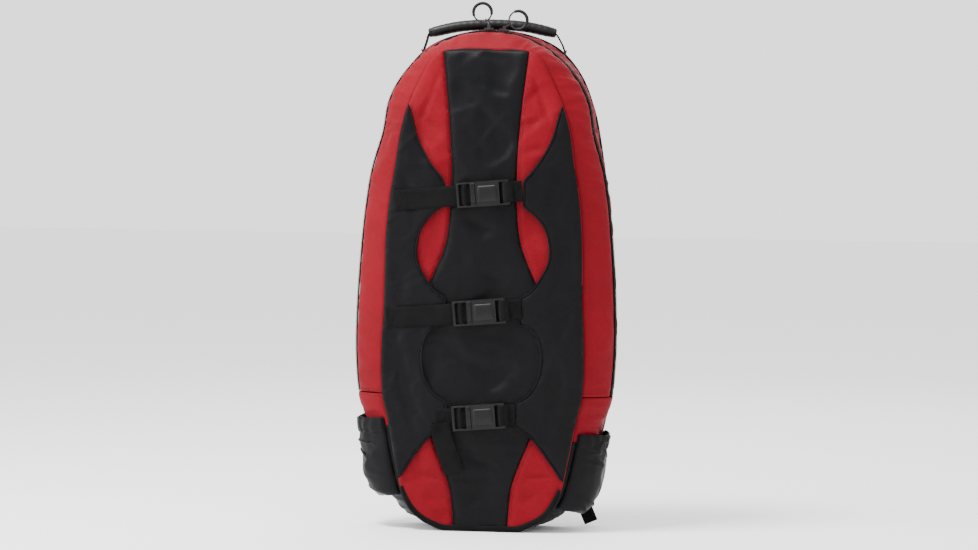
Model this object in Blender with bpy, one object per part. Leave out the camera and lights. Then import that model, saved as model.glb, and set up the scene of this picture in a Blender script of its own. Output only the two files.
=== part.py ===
"""Backpack ski bag: an egg-shaped bag with a red zipped side wall, two black front wings held by
three buckled straps, two side pockets, a grab handle, ring zip pulls and a shoulder harness.

Metres, +Z up. The front faces -Y, +X is the right as seen from the front. The origin is the centre
of the flat patch that the bag stands on.
"""
import math

import bmesh
import bpy
from mathutils import Matrix, Vector
from mathutils.geometry import delaunay_2d_cdt

MM = 0.001
GAP = 0.3 * MM  # between neighbouring pieces

# Depth of the body. Each is a Y.
RIM_Y = -46 * MM  # front edge of the side wall, which the front panels are sewn to
ZIP_Y = -5 * MM  # middle of the zip
SEAM_Y = 45 * MM  # back seam
ZIP_HALF_WIDTH = 4 * MM

WALL = 3 * MM  # padded side wall
PANEL = 4 * MM  # padded front and back panels
WING = 3.5 * MM
WEBBING = 2 * MM
FOAM = 12 * MM
FRONT_DOME = 11 * MM  # how far the stuffed front bulges at its middle

# Half outlines in mm as (x, z), from the top centre to the bottom centre. The three lists share
# their stations, so that the side wall is lofted from one to the next.
RIM_HALF = [
    (0, 692), (40, 691.5), (74, 684), (94, 651), (111, 613), (122, 575), (130, 520), (138, 470),
    (142, 410), (143, 330), (146, 255), (144, 196), (136, 160), (131, 130), (126, 104), (117, 62),
    (106, 36), (91, 18), (70, 6), (50, 0), (0, 0),
]
SEAM_HALF = [
    (0, 722), (50, 716), (96, 696), (129, 658), (148, 611), (157, 572), (165, 520), (171, 470),
    (175, 410), (180, 330), (181, 255), (178, 196), (172, 160), (165, 130), (157, 104), (141, 62),
    (122, 33), (102, 16), (76, 5), (50, 0), (0, 0),
]
ZIP_HALF = [
    None, None, None, None, None,
    (153, 572), (168, 520), (176, 470), (182, 410), (187, 330), (188, 255), (183, 196), (172, 160),
    (163, 130), (155, 104), (141, 62), (122, 33), (102, 16), (76, 5), (50, 0), (0, 0),
]
# The zip runs over the top as an arc, so that its sliders turn about the arc's centre.
ARC_CENTRE_Z = 565 * MM
ARC_RADIUS = 154 * MM
ARC_ANGLES = (0, 18, 36, 54, 70)  # degrees from straight up, one for each empty zip station
for station, angle in enumerate(ARC_ANGLES):
    turn = math.radians(angle)
    ZIP_HALF[station] = (
        ARC_RADIUS / MM * math.sin(turn),
        ARC_CENTRE_Z / MM + ARC_RADIUS / MM * math.cos(turn),
    )

SEAM_STATION = 11  # the zipped upper wall is sewn to the lower wall here
BOTTOM_STATION = 20
LOWEST_FLANK_Z = 356 * MM
PIECES_PER_STATION = 2

# Wing: inner edge in mm from its top point to its bottom point, as curves that meet at the corners.
WING_EDGE = [
    [(111, 611), (106, 595), (98, 565), (80, 531), (58, 503)],
    [(58, 503), (58, 468)],
    [(58, 468), (80, 449), (93, 425), (95, 389), (75, 352), (53, 334)],
    [(53, 334), (54, 299)],
    [(54, 299), (72, 292), (85, 265), (84, 228), (70, 200), (50, 186)],
    [(50, 186), (47, 155)],
    [(47, 155), (72, 138), (93, 112), (120, 72)],
]
# Edge between the black centre stripe and the red flank, and between it and the red corner.
STRIPE_EDGE = [(51, 590), (47, 520), (48, 460), (55, 410), (77, 356)]
CORNER_EDGE = [(72, 136), (62, 112), (51, 84), (43, 54), (39, 1)]
CORNER_TOP_Z = 152 * MM  # where the red corner's hidden upper edge meets the outline

# Straps: the buckle's centre, where its left webbing starts, and where its right webbing ends.
STRAP_TILT = math.radians(5)
STRAP_WIDTH = 30 * MM
STRAPS = [
    {"x": 0, "z": 485, "left": -129, "right": 58},
    {"x": -3, "z": 316, "left": -139, "right": 58},
    {"x": -2, "z": 166, "left": -64, "right": 50},
]
STRAP_OFFSET = 5.6 * MM  # middle of the webbing in front of the panels

# Buckle, in its own frame: x along the strap, depth in front of the panel.
BUCKLE_HALF = 38 * MM
BUCKLE_HALF_HEIGHT = 18 * MM
FEMALE_START = -9.7 * MM
FEMALE_DEPTH = (1.2 * MM, 13.0 * MM)
TUNNEL_DEPTH = (6.8 * MM, 11.6 * MM)
TUNNEL_END = 19 * MM
TUNNEL_HALF_HEIGHT = 15.4 * MM
MALE_DEPTH = (7.2 * MM, 11.2 * MM)
PRONG_PIVOT = (-8 * MM, 11.5 * MM)

# Zip pulls: angle of each slider along the arc, and the way its tab points, from straight up.
SLIDERS = {"left": (-0.5, -26), "right": (7.5, 62)}
SLIDER_RISE = 7.5 * MM  # tab pin above the zip
TAB_LENGTH = 12 * MM
RING_RADIUS = 13.2 * MM
RING_WIRE = 1.2 * MM
GRIP_RADIUS = 2.4 * MM
GRIP_ARC = math.radians(215)

# Grab handle
HANDLE_ANCHOR = (105 * MM, 56.5 * MM, 690 * MM)
HANDLE_TUBE = 8 * MM
HANDLE_BORE = 5 * MM
HANDLE_PATH = [(-94, 719), (-50, 728.5), (-3, 731.5), (45, 729), (90, 720)]
HANDLE_Y = 50 * MM

# Side pockets
POCKET_STATIONS = {"left": (12.0, 15.4), "right": (12.6, 16.0)}  # mouth and bottom
POCKET_FRONT_Y = -43 * MM
POCKET_BACK_Y = 43 * MM
POCKET_BULGE = (11 * MM, 19 * MM)  # at the mouth, and how much more lower down
POCKET_WALL = 1.6 * MM
ELASTIC_HEIGHT = 0.55  # in stations
SIDE_BELOW_MOUTH = 0.35  # how far the red side pieces reach below the pocket mouths, in stations

# Harness routes in mm as (x, y, z) on the right side, and the shoulder strap's width at each point
SHOULDER_ROUTE = [(40, 69, 640), (58, 82, 596), (74, 93, 520), (82, 95, 430), (88, 86, 330), (94, 76, 250)]
SHOULDER_WIDTHS = [48, 62, 66, 62, 54, 44]
LOWER_WEBBING = [(97, 70, 238), (107, 67, 190), (124, 64, 124), (136, 51, 62)]
WEBBING_TAILS = {
    "right": [(97, 78, 238), (103, 76, 190), (116, 72, 110), (131, 67, 50), (144, 62, 24), (153, 56, 5)],
    "left": [(97, 78, 238), (101, 77, 190), (104, 76, 130), (103, 76, 80)],
}

MATERIALS = {
    "red_fabric": ((0.40, 0.020, 0.028), 0.80),
    "black_fabric": ((0.012, 0.012, 0.014), 0.85),
    "zip_coil": ((0.030, 0.029, 0.030), 0.55),
    "webbing": ((0.016, 0.016, 0.017), 0.80),
    "buckle_plastic": ((0.030, 0.028, 0.029), 0.45),
    "slider_metal": ((0.045, 0.044, 0.045), 0.40),
    "grip_plastic": ((0.028, 0.027, 0.027), 0.50),
    "foam_mesh": ((0.014, 0.014, 0.015), 0.95),
    "stiffener": ((0.050, 0.050, 0.052), 0.60),
}


# ---------------------------------------------------------------- scene and mesh helpers


def clear_scene():
    for item in list(bpy.data.objects):
        bpy.data.objects.remove(item, do_unlink=True)


def collection(name):
    found = bpy.data.collections.get(name)
    if found is None:
        found = bpy.data.collections.new(name)
        bpy.context.scene.collection.children.link(found)
    return found


def material(slot):
    found = bpy.data.materials.get(slot)
    if found is None:
        colour, roughness = MATERIALS[slot]
        found = bpy.data.materials.new(slot)
        found.use_nodes = True
        shader = found.node_tree.nodes["Principled BSDF"]
        shader.inputs["Base Color"].default_value = (*colour, 1)
        shader.inputs["Roughness"].default_value = roughness
        shader.inputs["Metallic"].default_value = 0.6 if slot == "slider_metal" else 0.0
    return found


def place(name, data, slot, matrix=None, parent=None):
    """Object of the bag, in the bag's collection."""
    item = bpy.data.objects.new(name, data)
    collection("ski_bag").objects.link(item)
    if not data.materials:
        data.materials.append(material(slot))
    if matrix is not None:
        item.matrix_world = matrix
    if parent is not None:
        bpy.context.view_layer.update()
        item.parent = parent
        item.matrix_parent_inverse = parent.matrix_world.inverted()
    return item


def axis_empty(name, location):
    """Parent for a moving piece, on its joint's axis."""
    item = bpy.data.objects.new(name, None)
    item.location = location
    collection("ski_bag").objects.link(item)
    bpy.context.view_layer.update()
    return item


def closed_mesh(name, points, faces):
    shape = bmesh.new()
    corners = [shape.verts.new(point) for point in points]
    for face in faces:
        shape.faces.new([corners[i] for i in face])
    bmesh.ops.recalc_face_normals(shape, faces=shape.faces)
    data = bpy.data.meshes.new(name)
    shape.to_mesh(data)
    shape.free()
    return data


def box_mesh(name, low, high):
    """Box between two corners."""
    shape = bmesh.new()
    bmesh.ops.create_cube(shape, size=1)
    middle = [(a + b) / 2 for a, b in zip(low, high)]
    size = [b - a for a, b in zip(low, high)]
    bmesh.ops.transform(shape, verts=shape.verts, matrix=Matrix.Diagonal((*size, 1)))
    bmesh.ops.translate(shape, verts=shape.verts, vec=middle)
    data = bpy.data.meshes.new(name)
    shape.to_mesh(data)
    shape.free()
    return data


def cylinder_mesh(name, radius, length, centre, axis, segments=16):
    """Cylinder along an axis, "X", "Y" or "Z"."""
    shape = bmesh.new()
    bmesh.ops.create_cone(
        shape, cap_ends=True, segments=segments, radius1=radius, radius2=radius, depth=length
    )
    turns = {"X": Matrix.Rotation(math.pi / 2, 4, "Y"), "Y": Matrix.Rotation(math.pi / 2, 4, "X")}
    bmesh.ops.transform(shape, verts=shape.verts, matrix=turns.get(axis, Matrix.Identity(4)))
    bmesh.ops.translate(shape, verts=shape.verts, vec=centre)
    data = bpy.data.meshes.new(name)
    shape.to_mesh(data)
    shape.free()
    return data


def combined(name, base, steps):
    """Mesh of the base after each (operation, mesh) step."""
    item = bpy.data.objects.new(name, base)
    collection("cutters").objects.link(item)
    for operation, tool_mesh in steps:
        tool = bpy.data.objects.new(tool_mesh.name, tool_mesh)
        tool.hide_render = True
        tool.display_type = "WIRE"
        collection("cutters").objects.link(tool)
        step = item.modifiers.new(operation, "BOOLEAN")
        step.operation = operation
        step.object = tool
    bpy.context.view_layer.update()
    data = bpy.data.meshes.new_from_object(item.evaluated_get(bpy.context.evaluated_depsgraph_get()))
    data.name = name
    bpy.data.objects.remove(item)
    return data


# ---------------------------------------------------------------- curves and surfaces of the bag


def catmull_rom(before, start, end, after, part):
    """Point a part of the way from start to end on a smooth curve."""
    value = []
    for p0, p1, p2, p3 in zip(before, start, end, after):
        cubic = -p0 + 3 * p1 - 3 * p2 + p3
        square = 2 * p0 - 5 * p1 + 4 * p2 - p3
        value.append(0.5 * (2 * p1 + (p2 - p0) * part + square * part**2 + cubic * part**3))
    return Vector(value)


def smooth(points, steps):
    """Curve through the points, with the given number of steps between each two."""
    first = Vector(points[0]) * 2 - Vector(points[1])
    last = Vector(points[-1]) * 2 - Vector(points[-2])
    chain = [first, *[Vector(p) for p in points], last]
    curve = []
    for k in range(1, len(chain) - 2):
        for step in range(steps):
            curve.append(catmull_rom(*chain[k - 1 : k + 3], step / steps))
    curve.append(Vector(points[-1]))
    return curve


def on_half(half, station):
    """Outline point in metres. Stations past the bottom centre or below 0 are on the left."""
    if station > BOTTOM_STATION:
        station -= 2 * BOTTOM_STATION
    side = -1 if station < 0 else 1
    k = min(int(abs(station)), len(half) - 2)
    mirrored = {-1: (-half[1][0], half[1][1]), len(half): (-half[-2][0], half[-2][1])}
    chain = [mirrored.get(i) or half[i] for i in range(k - 1, k + 3)]
    x, z = catmull_rom(*chain, abs(station) - k)
    return Vector((side * x * MM, max(z, 0) * MM))


def wall_middle(station, y):
    """Side wall in (x, z): it swells from the rim to the zip line, then eases to the back seam."""
    rim, zip_line, seam = (on_half(half, station) for half in (RIM_HALF, ZIP_HALF, SEAM_HALF))
    if y < ZIP_Y:
        part = math.sin(math.pi / 2 * (y - RIM_Y) / (ZIP_Y - RIM_Y))
        return rim + (zip_line - rim) * part
    part = 1 - math.cos(math.pi / 2 * (y - ZIP_Y) / (SEAM_Y - ZIP_Y))
    return zip_line + (seam - zip_line) * part


def wall_point(station, y, out=0.0):
    """Point of the side wall's outer face, moved out along the outline's normal."""
    step = 0.02
    middle = wall_middle(station, y)
    along = (wall_middle(station + step, y) - wall_middle(station - step, y)).normalized()
    return Vector((middle.x - along.y * out, y, middle.y + along.x * out))


def half_width(half, z):
    """Half width of an outline at a height, below its top corners."""
    low, high = 1.0, float(BOTTOM_STATION - 1)
    for _ in range(40):
        middle = (low + high) / 2
        if on_half(half, middle).y > z:
            low = middle
        else:
            high = middle
    return on_half(half, low).x


def front_face(x, z):
    """Y of the front panels' outer face."""
    middle_z, half_z = 346 * MM, 346 * MM
    width = half_width(RIM_HALF, min(max(z, 10 * MM), 688 * MM))
    across = max(0.0, 1 - (x / width) ** 2)
    along = max(0.0, 1 - abs((z - middle_z) / half_z) ** 5)
    return RIM_Y - PANEL - FRONT_DOME * across * along


def steps_between(first, last, count):
    return [first + (last - first) * k / count for k in range(count + 1)]


# ---------------------------------------------------------------- builders for fabric and webbing


def band(name, slot, stations, depths, outer, inner):
    """Closed shell between two grids. outer and inner give the distance out at (station, y)."""
    points = []
    for distance in (outer, inner):
        for station in stations:
            for y in depths:
                points.append(wall_point(station, y, distance(station, y)))
    rows, columns = len(stations), len(depths)
    back = rows * columns
    faces = []
    for i in range(rows - 1):
        for j in range(columns - 1):
            quad = [i * columns + j, i * columns + j + 1, (i + 1) * columns + j + 1, (i + 1) * columns + j]
            faces.append(quad)
            faces.append([back + k for k in reversed(quad)])
    rim = [j for j in range(columns)]
    rim += [i * columns + columns - 1 for i in range(1, rows)]
    rim += [(rows - 1) * columns + j for j in reversed(range(columns - 1))]
    rim += [i * columns for i in reversed(range(1, rows - 1))]
    for here, there in zip(rim, rim[1:] + rim[:1]):
        faces.append([there, here, back + here, back + there])
    return place(name, closed_mesh(name, points, faces), slot)


def inset(outline, distance):
    """Outline moved inwards, for the gap between neighbours."""
    count = len(outline)
    area = sum(
        outline[i].x * outline[(i + 1) % count].y - outline[(i + 1) % count].x * outline[i].y
        for i in range(count)
    )
    turn = 1 if area > 0 else -1
    moved = []
    for i, point in enumerate(outline):
        arriving = (point - outline[i - 1]).normalized()
        leaving = (outline[(i + 1) % count] - point).normalized()
        normals = [Vector((-way.y, way.x)) * turn for way in (arriving, leaving)]
        middle = (normals[0] + normals[1]).normalized()
        moved.append(point + middle * distance / max(0.4, middle.dot(normals[0])))
    return moved


def inside(outline, x, z):
    crossings = 0
    for i, here in enumerate(outline):
        last = outline[i - 1]
        if (here.y > z) != (last.y > z):
            if x < here.x + (z - here.y) * (last.x - here.x) / (last.y - here.y):
                crossings += 1
    return crossings % 2 == 1


def plate(name, slot, outline, face, thickness, spacing=28 * MM):
    """Sewn piece with an outline in (x, z), lifted on to face(x, z), its outer side."""
    outline = inset([Vector(p) for p in outline], GAP / 2)
    clearance = inset(outline, spacing * 0.35)
    low = [min(p[k] for p in outline) for k in (0, 1)]
    high = [max(p[k] for p in outline) for k in (0, 1)]
    flat = list(outline)
    for i in range(1, int((high[0] - low[0]) / spacing) + 1):
        for j in range(1, int((high[1] - low[1]) / spacing) + 1):
            x, z = low[0] + i * spacing, low[1] + j * spacing
            if inside(clearance, x, z) and inside(outline, x, z):
                flat.append(Vector((x, z)))
    loop = list(range(len(outline)))
    flat, _, triangles, _, _, _ = delaunay_2d_cdt(flat, [], [loop], 1, 1e-7)
    count = len(flat)
    points = [Vector((p.x, face(p.x, p.y), p.y)) for p in flat]
    points += [point + Vector((0, thickness, 0)) for point in points]
    faces = [list(triangle) for triangle in triangles]
    faces += [[i + count for i in reversed(triangle)] for triangle in triangles]
    edges = {}
    for triangle in triangles:
        for here, there in zip(triangle, list(triangle[1:]) + [triangle[0]]):
            edges[(here, there)] = True
    for here, there in edges:
        if (there, here) not in edges:
            faces.append([there, here, here + count, there + count])
    return place(name, closed_mesh(name, points, faces), slot)


def ribbon_mesh(name, path, across, widths, thickness):
    """Strip swept along a path; across is the direction of its width."""
    points = []
    for i, centre in enumerate(path):
        along = (path[min(i + 1, len(path) - 1)] - path[max(i - 1, 0)]).normalized()
        side = (across - along * across.dot(along)).normalized()
        up = along.cross(side)
        width = widths[i] if isinstance(widths, list) else widths
        for a, b in ((1, 1), (1, -1), (-1, -1), (-1, 1)):
            points.append(centre + side * (a * width / 2) + up * (b * thickness / 2))
    faces = [[0, 1, 2, 3], [len(points) - 1 - k for k in range(4)]]
    for i in range(len(path) - 1):
        for k in range(4):
            here, there = 4 * i + k, 4 * i + (k + 1) % 4
            faces.append([here, there, there + 4, here + 4])
    return closed_mesh(name, points, faces)


def tube(name, slot, path, radius, resolution=2):
    """Round tube along a path."""
    data = bpy.data.curves.new(name, "CURVE")
    data.dimensions = "3D"
    data.bevel_depth = radius
    data.bevel_resolution = resolution
    data.use_fill_caps = True
    spline = data.splines.new("POLY")
    spline.points.add(len(path) - 1)
    for point, position in zip(spline.points, path):
        point.co = (*position, 1)
    return place(name, data, slot)


def flat_mesh(name, outlines, thickness):
    """Flat piece from a 2D curve, with its holes as inner outlines: x along, y up, z its depth."""
    data = bpy.data.curves.new(name, "CURVE")
    data.dimensions = "2D"
    data.fill_mode = "BOTH"
    data.extrude = thickness / 2
    for outline in outlines:
        spline = data.splines.new("POLY")
        spline.points.add(len(outline) - 1)
        spline.use_cyclic_u = True
        for point, (x, y) in zip(spline.points, outline):
            point.co = (x, y, 0, 1)
    item = bpy.data.objects.new(name, data)
    collection("cutters").objects.link(item)
    bpy.context.view_layer.update()
    mesh = bpy.data.meshes.new_from_object(item.evaluated_get(bpy.context.evaluated_depsgraph_get()))
    bpy.data.objects.remove(item)
    shape = bmesh.new()
    shape.from_mesh(mesh)
    bmesh.ops.remove_doubles(shape, verts=shape.verts, dist=1e-6)
    shape.to_mesh(mesh)
    shape.free()
    mesh.name = name
    return mesh


def rectangle(low, high):
    return [(low[0], low[1]), (high[0], low[1]), (high[0], high[1]), (low[0], high[1])]


def rounded(low, high, radius, steps=3):
    """Rectangle with round corners."""
    corners = [
        (high[0] - radius, high[1] - radius, 0),
        (low[0] + radius, high[1] - radius, 90),
        (low[0] + radius, low[1] + radius, 180),
        (high[0] - radius, low[1] + radius, 270),
    ]
    outline = []
    for x, y, start in corners:
        for step in range(steps + 1):
            angle = math.radians(start + 90 * step / steps)
            outline.append((x + radius * math.cos(angle), y + radius * math.sin(angle)))
    return outline


# ---------------------------------------------------------------- side wall


def side_walls():
    seam, lowest = SEAM_STATION, 2 * BOTTOM_STATION - SEAM_STATION
    upper = steps_between(-seam, seam, 2 * seam * PIECES_PER_STATION)
    right_mouth = POCKET_STATIONS["right"][0] + SIDE_BELOW_MOUTH
    left_mouth = 2 * BOTTOM_STATION - POCKET_STATIONS["left"][0] - SIDE_BELOW_MOUTH
    lower = [right_mouth + 0.02, *steps_between(13.5, 27, 27), left_mouth - 0.02]
    wall = (lambda station, y: 0.0, lambda station, y: -WALL)
    front = steps_between(RIM_Y + GAP, ZIP_Y - ZIP_HALF_WIDTH - GAP, 2)
    chain = (ZIP_Y - ZIP_HALF_WIDTH, ZIP_Y + ZIP_HALF_WIDTH)
    rear = steps_between(ZIP_Y + ZIP_HALF_WIDTH + GAP, SEAM_Y, 3)
    band("gusset_front", "red_fabric", upper, front, *wall)
    band("gusset_rear", "red_fabric", upper, rear, *wall)
    whole_depth = steps_between(RIM_Y + GAP, SEAM_Y, 5)
    band("gusset_lower", "black_fabric", lower, whole_depth, *wall)
    band("gusset_side_right", "red_fabric", steps_between(seam + 0.02, right_mouth, 4), whole_depth, *wall)
    band("gusset_side_left", "red_fabric", steps_between(left_mouth, lowest - 0.02, 4), whole_depth, *wall)
    band("zip_chain", "zip_coil", upper, chain, lambda s, y: 0.8 * MM, lambda s, y: -1.2 * MM)


def pocket_bulge(side, station, y):
    """Distance that the pocket stands off the side wall."""
    across = math.sin(math.pi * (y - POCKET_FRONT_Y) / (POCKET_BACK_Y - POCKET_FRONT_Y))
    top, bottom = POCKET_STATIONS[side]
    down = min(1.0, max(0.0, (abs(station) - top) / (bottom - top)))
    swell = POCKET_BULGE[0] + POCKET_BULGE[1] * down
    return swell * max(0.0, across) ** 0.5 * max(0.0, 1 - down**5) ** 0.5


def side_pockets():
    depths = steps_between(POCKET_FRONT_Y, POCKET_BACK_Y, 8)
    for side, turn in (("left", -1), ("right", 1)):
        top, bottom = POCKET_STATIONS[side]
        inner = lambda station, y: GAP + pocket_bulge(side, station, y)
        outer = lambda station, y: inner(station, y) + POCKET_WALL
        elastic_inner = lambda station, y: outer(station, y) + 3 * GAP
        elastic_outer = lambda station, y: outer(station, y) + WEBBING
        stations = sorted(turn * s for s in steps_between(top, bottom, 9))
        band(f"side_pocket_{side}", "black_fabric", stations, depths, outer, inner)
        hem = sorted(turn * s for s in steps_between(top, top + ELASTIC_HEIGHT, 2))
        band(f"pocket_elastic_{side}", "webbing", hem, depths, elastic_outer, elastic_inner)


# ---------------------------------------------------------------- front


def mirrored(points):
    return [Vector((-p[0], p[1])) for p in reversed(points)]


def in_metres(points):
    return [Vector(point) * MM for point in points]


def rim_stretch(first_z, last_z, pieces):
    """Right half of the front outline between two heights, from the top down."""
    heights = steps_between(first_z, last_z, pieces)
    return [Vector((half_width(RIM_HALF, z), z)) for z in heights]


def front_panels():
    top = [on_half(RIM_HALF, s) for s in steps_between(0, 1.6, 4)]
    top_corner = [on_half(RIM_HALF, s) for s in steps_between(1.6, 3, 5)]
    stripe = smooth([top[-1], *in_metres(STRIPE_EDGE)], 2)
    corner = smooth(in_metres(CORNER_EDGE), 2)
    middle = rim_stretch(LOWEST_FLANK_Z, CORNER_TOP_Z, 6)
    flank_side = rim_stretch(651 * MM, LOWEST_FLANK_Z, 8)
    corner_side = rim_stretch(CORNER_TOP_Z, 4 * MM, 9)
    corner_side += [on_half(RIM_HALF, BOTTOM_STATION - 1), Vector((corner[-1].x, 0))]
    right = tidy_outline(top + stripe[1:] + middle + corner)
    plate("front_panel_centre", "black_fabric", right + mirrored(right[1:]), front_face, PANEL)
    flank = tidy_outline(top_corner + flank_side[1:] + list(reversed(stripe[1:])))
    low_corner = tidy_outline(corner_side + list(reversed(corner[:-1])))
    for side, mirror in (("left", mirrored), ("right", list)):
        plate(f"front_flank_{side}", "red_fabric", mirror(flank), front_face, PANEL)
        plate(f"front_corner_{side}", "red_fabric", mirror(low_corner), front_face, PANEL)


def tidy_outline(points):
    """Outline without points that nearly repeat the one before."""
    kept = [points[0]]
    for point in points[1:]:
        if (point - kept[-1]).length > 1.5 * MM:
            kept.append(point)
    return kept


def wing_face(x, z):
    return front_face(x, z) - GAP - WING


def wings():
    edge = []
    for stretch in WING_EDGE:
        edge += smooth(in_metres(stretch), 1 if len(stretch) == 2 else 3)
    outer = rim_stretch(WING_EDGE[-1][-1][1] * MM, WING_EDGE[0][0][1] * MM, 14)
    outline = tidy_outline(edge + outer[:-1])
    plate("wing_right", "black_fabric", outline, wing_face, WING)
    plate("wing_left", "black_fabric", mirrored(outline), wing_face, WING)


def strap_point(strap, x, offset=STRAP_OFFSET):
    """Point on a strap's centreline at a distance x along it from the buckle's centre."""
    place_x = strap["x"] * MM + x * math.cos(STRAP_TILT)
    place_z = strap["z"] * MM + x * math.sin(STRAP_TILT)
    return Vector((place_x, front_face(place_x, place_z) - offset, place_z))


def straps():
    across = Vector((-math.sin(STRAP_TILT), 0, math.cos(STRAP_TILT)))
    for number, strap in enumerate(STRAPS, 1):
        left_start = (strap["left"] - strap["x"]) * MM
        right_end = (strap["right"] - strap["x"]) * MM
        left = [strap_point(strap, x) for x in steps_between(left_start, -20 * MM, 8)]
        right = [strap_point(strap, x) for x in steps_between(24 * MM, right_end, 2)]
        for name, path in ((f"strap_left_{number}", left), (f"strap_right_{number}", right)):
            place(name, ribbon_mesh(name, path, across, STRAP_WIDTH, WEBBING), "webbing")


def strap_tail(parent):
    """Loose end of the lowest strap, hanging from its buckle."""
    route = [(-58, 156, 9.5), (-54, 136, 9), (-48, 116, 8), (-41, 98, 7), (-36, 84, 6.5)]
    path = []
    for x, z, rise in route:
        path.append(Vector((x * MM, front_face(x * MM, z * MM) - rise * MM, z * MM)))
    across = Vector((1, 0, 0.27)).normalized()
    data = ribbon_mesh("strap_tail_3", path, across, STRAP_WIDTH - 2 * MM, WEBBING)
    place("strap_tail_3", data, "webbing", parent=parent)


# ---------------------------------------------------------------- buckles


def female_mesh():
    """Socket half: a flat box with a tunnel, side windows and a slotted end."""
    half = BUCKLE_HALF_HEIGHT
    back, front = FEMALE_DEPTH
    tunnel_back, tunnel_front = TUNNEL_DEPTH
    beyond = 1 * MM
    body = box_mesh("female", (FEMALE_START, -half, back), (BUCKLE_HALF, half, front))
    tunnel_low = (FEMALE_START - beyond, -TUNNEL_HALF_HEIGHT, tunnel_back)
    tunnel = box_mesh("tunnel", tunnel_low, (TUNNEL_END, TUNNEL_HALF_HEIGHT, tunnel_front))
    window_low = (-1 * MM, -half - beyond, tunnel_back)
    windows = box_mesh("windows", window_low, (14 * MM, half + beyond, tunnel_front))
    slot = box_mesh("slot", (24 * MM, -15.5 * MM, -beyond), (31 * MM, 15.5 * MM, front + beyond))
    bar_low = (22 * MM, -half - beyond, -beyond)
    under_bar = box_mesh("under_bar", bar_low, (BUCKLE_HALF + beyond, half + beyond, MALE_DEPTH[0]))
    steps = [("DIFFERENCE", cutter) for cutter in (tunnel, windows, slot, under_bar)]
    return combined("buckle_female", body, steps)


def male_mesh():
    """Plug half: a ladder of two bars, a shoulder and a guide tongue."""
    half = BUCKLE_HALF_HEIGHT
    start = -BUCKLE_HALF
    outline = [
        (start, -half), (-10 * MM, -half), (-10 * MM, -3 * MM), (15 * MM, -2.5 * MM),
        (15 * MM, 2.5 * MM), (-10 * MM, 3 * MM), (-10 * MM, half), (start, half),
    ]
    slots = [
        rectangle((start + 4 * MM, -15.3 * MM), (start + 10 * MM, 15.3 * MM)),
        rectangle((start + 13.5 * MM, -15.3 * MM), (start + 20 * MM, 15.3 * MM)),
    ]
    return flat_mesh("buckle_male", [outline, *slots], MALE_DEPTH[1] - MALE_DEPTH[0])


def prong_mesh():
    """Upper release prong, about its pivot."""
    outline = [
        (-1.6, -2), (10, -1.5), (20, -4), (25.5, -4), (25.5, -1), (23, 3.3),
        (9, 3.6), (4, 2), (-1.6, 3.6),
    ]
    return flat_mesh("prong", [[(x * MM, y * MM) for x, y in outline]], MALE_DEPTH[1] - MALE_DEPTH[0])


def buckles():
    female, male, prong = female_mesh(), male_mesh(), prong_mesh()
    standing = Matrix.Rotation(math.pi / 2, 4, "X")
    layer = Matrix.Translation((0, 0, (MALE_DEPTH[0] + MALE_DEPTH[1]) / 2))
    for number, strap in enumerate(STRAPS, 1):
        x, z = strap["x"] * MM, strap["z"] * MM
        origin = Vector((x, front_face(x, z), z))
        frame = Matrix.Translation(origin) @ Matrix.Rotation(-STRAP_TILT, 4, "Y") @ standing
        place(f"buckle_female_{number}", female, "buckle_plastic", frame)
        slide = axis_empty(f"buckle_{number}_slide", origin)
        place(f"buckle_male_{number}", male, "buckle_plastic", frame @ layer, slide)
        for word, side in (("upper", 1), ("lower", -1)):
            pivot = Matrix.Translation((PRONG_PIVOT[0], side * PRONG_PIVOT[1], 0))
            turn = Matrix.Rotation(math.pi, 4, "X") if side < 0 else Matrix.Identity(4)
            name = f"release_prong_{word}_{number}"
            place(name, prong, "buckle_plastic", frame @ layer @ pivot @ turn, slide)
        if number == 3:
            strap_tail(slide)


# ---------------------------------------------------------------- zip pulls


def slider_mesh():
    """Slider body on the zip with two ears and the pin that its tab turns on."""
    body = box_mesh("slider", (-6.5 * MM, -5 * MM, 2.6 * MM), (6.5 * MM, 5 * MM, 5.1 * MM))
    steps = []
    for side in (-1, 1):
        low = (-2.2 * MM, min(side * 4.8, side * 3.4) * MM, 4.5 * MM)
        high = (2.2 * MM, max(side * 4.8, side * 3.4) * MM, (SLIDER_RISE / MM + 1.6) * MM)
        steps.append(("UNION", box_mesh("ear", low, high)))
    steps.append(("UNION", cylinder_mesh("pin", 0.8 * MM, 8 * MM, (0, 0, SLIDER_RISE), "Y", 10)))
    return combined("zip_slider", body, steps)


def tab_mesh():
    """Pull tab, standing on its pin: a barrel, a plate and an eye for the ring."""
    barrel = cylinder_mesh("barrel", 2 * MM, 6 * MM, (0, 0, 0), "Y", 14)
    blade = box_mesh("blade", (-1 * MM, -3 * MM, 1.2 * MM), (1 * MM, 3 * MM, TAB_LENGTH))
    bore = cylinder_mesh("bore", 1.1 * MM, 8 * MM, (0, 0, 0), "Y", 14)
    eye = cylinder_mesh("eye", 1.9 * MM, 4 * MM, (0, 0, TAB_LENGTH - 3 * MM), "X", 12)
    return combined("pull_tab", barrel, [("UNION", blade), ("DIFFERENCE", bore), ("DIFFERENCE", eye)])


def ring_section(radius, start, end, pieces, closed):
    """Points of an arc in the XZ plane, about the ring's centre."""
    count = pieces if closed else pieces + 1
    angles = [start + (end - start) * k / pieces for k in range(count)]
    return [Vector((radius * math.sin(a), 0, radius * math.cos(a))) for a in angles]


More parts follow.
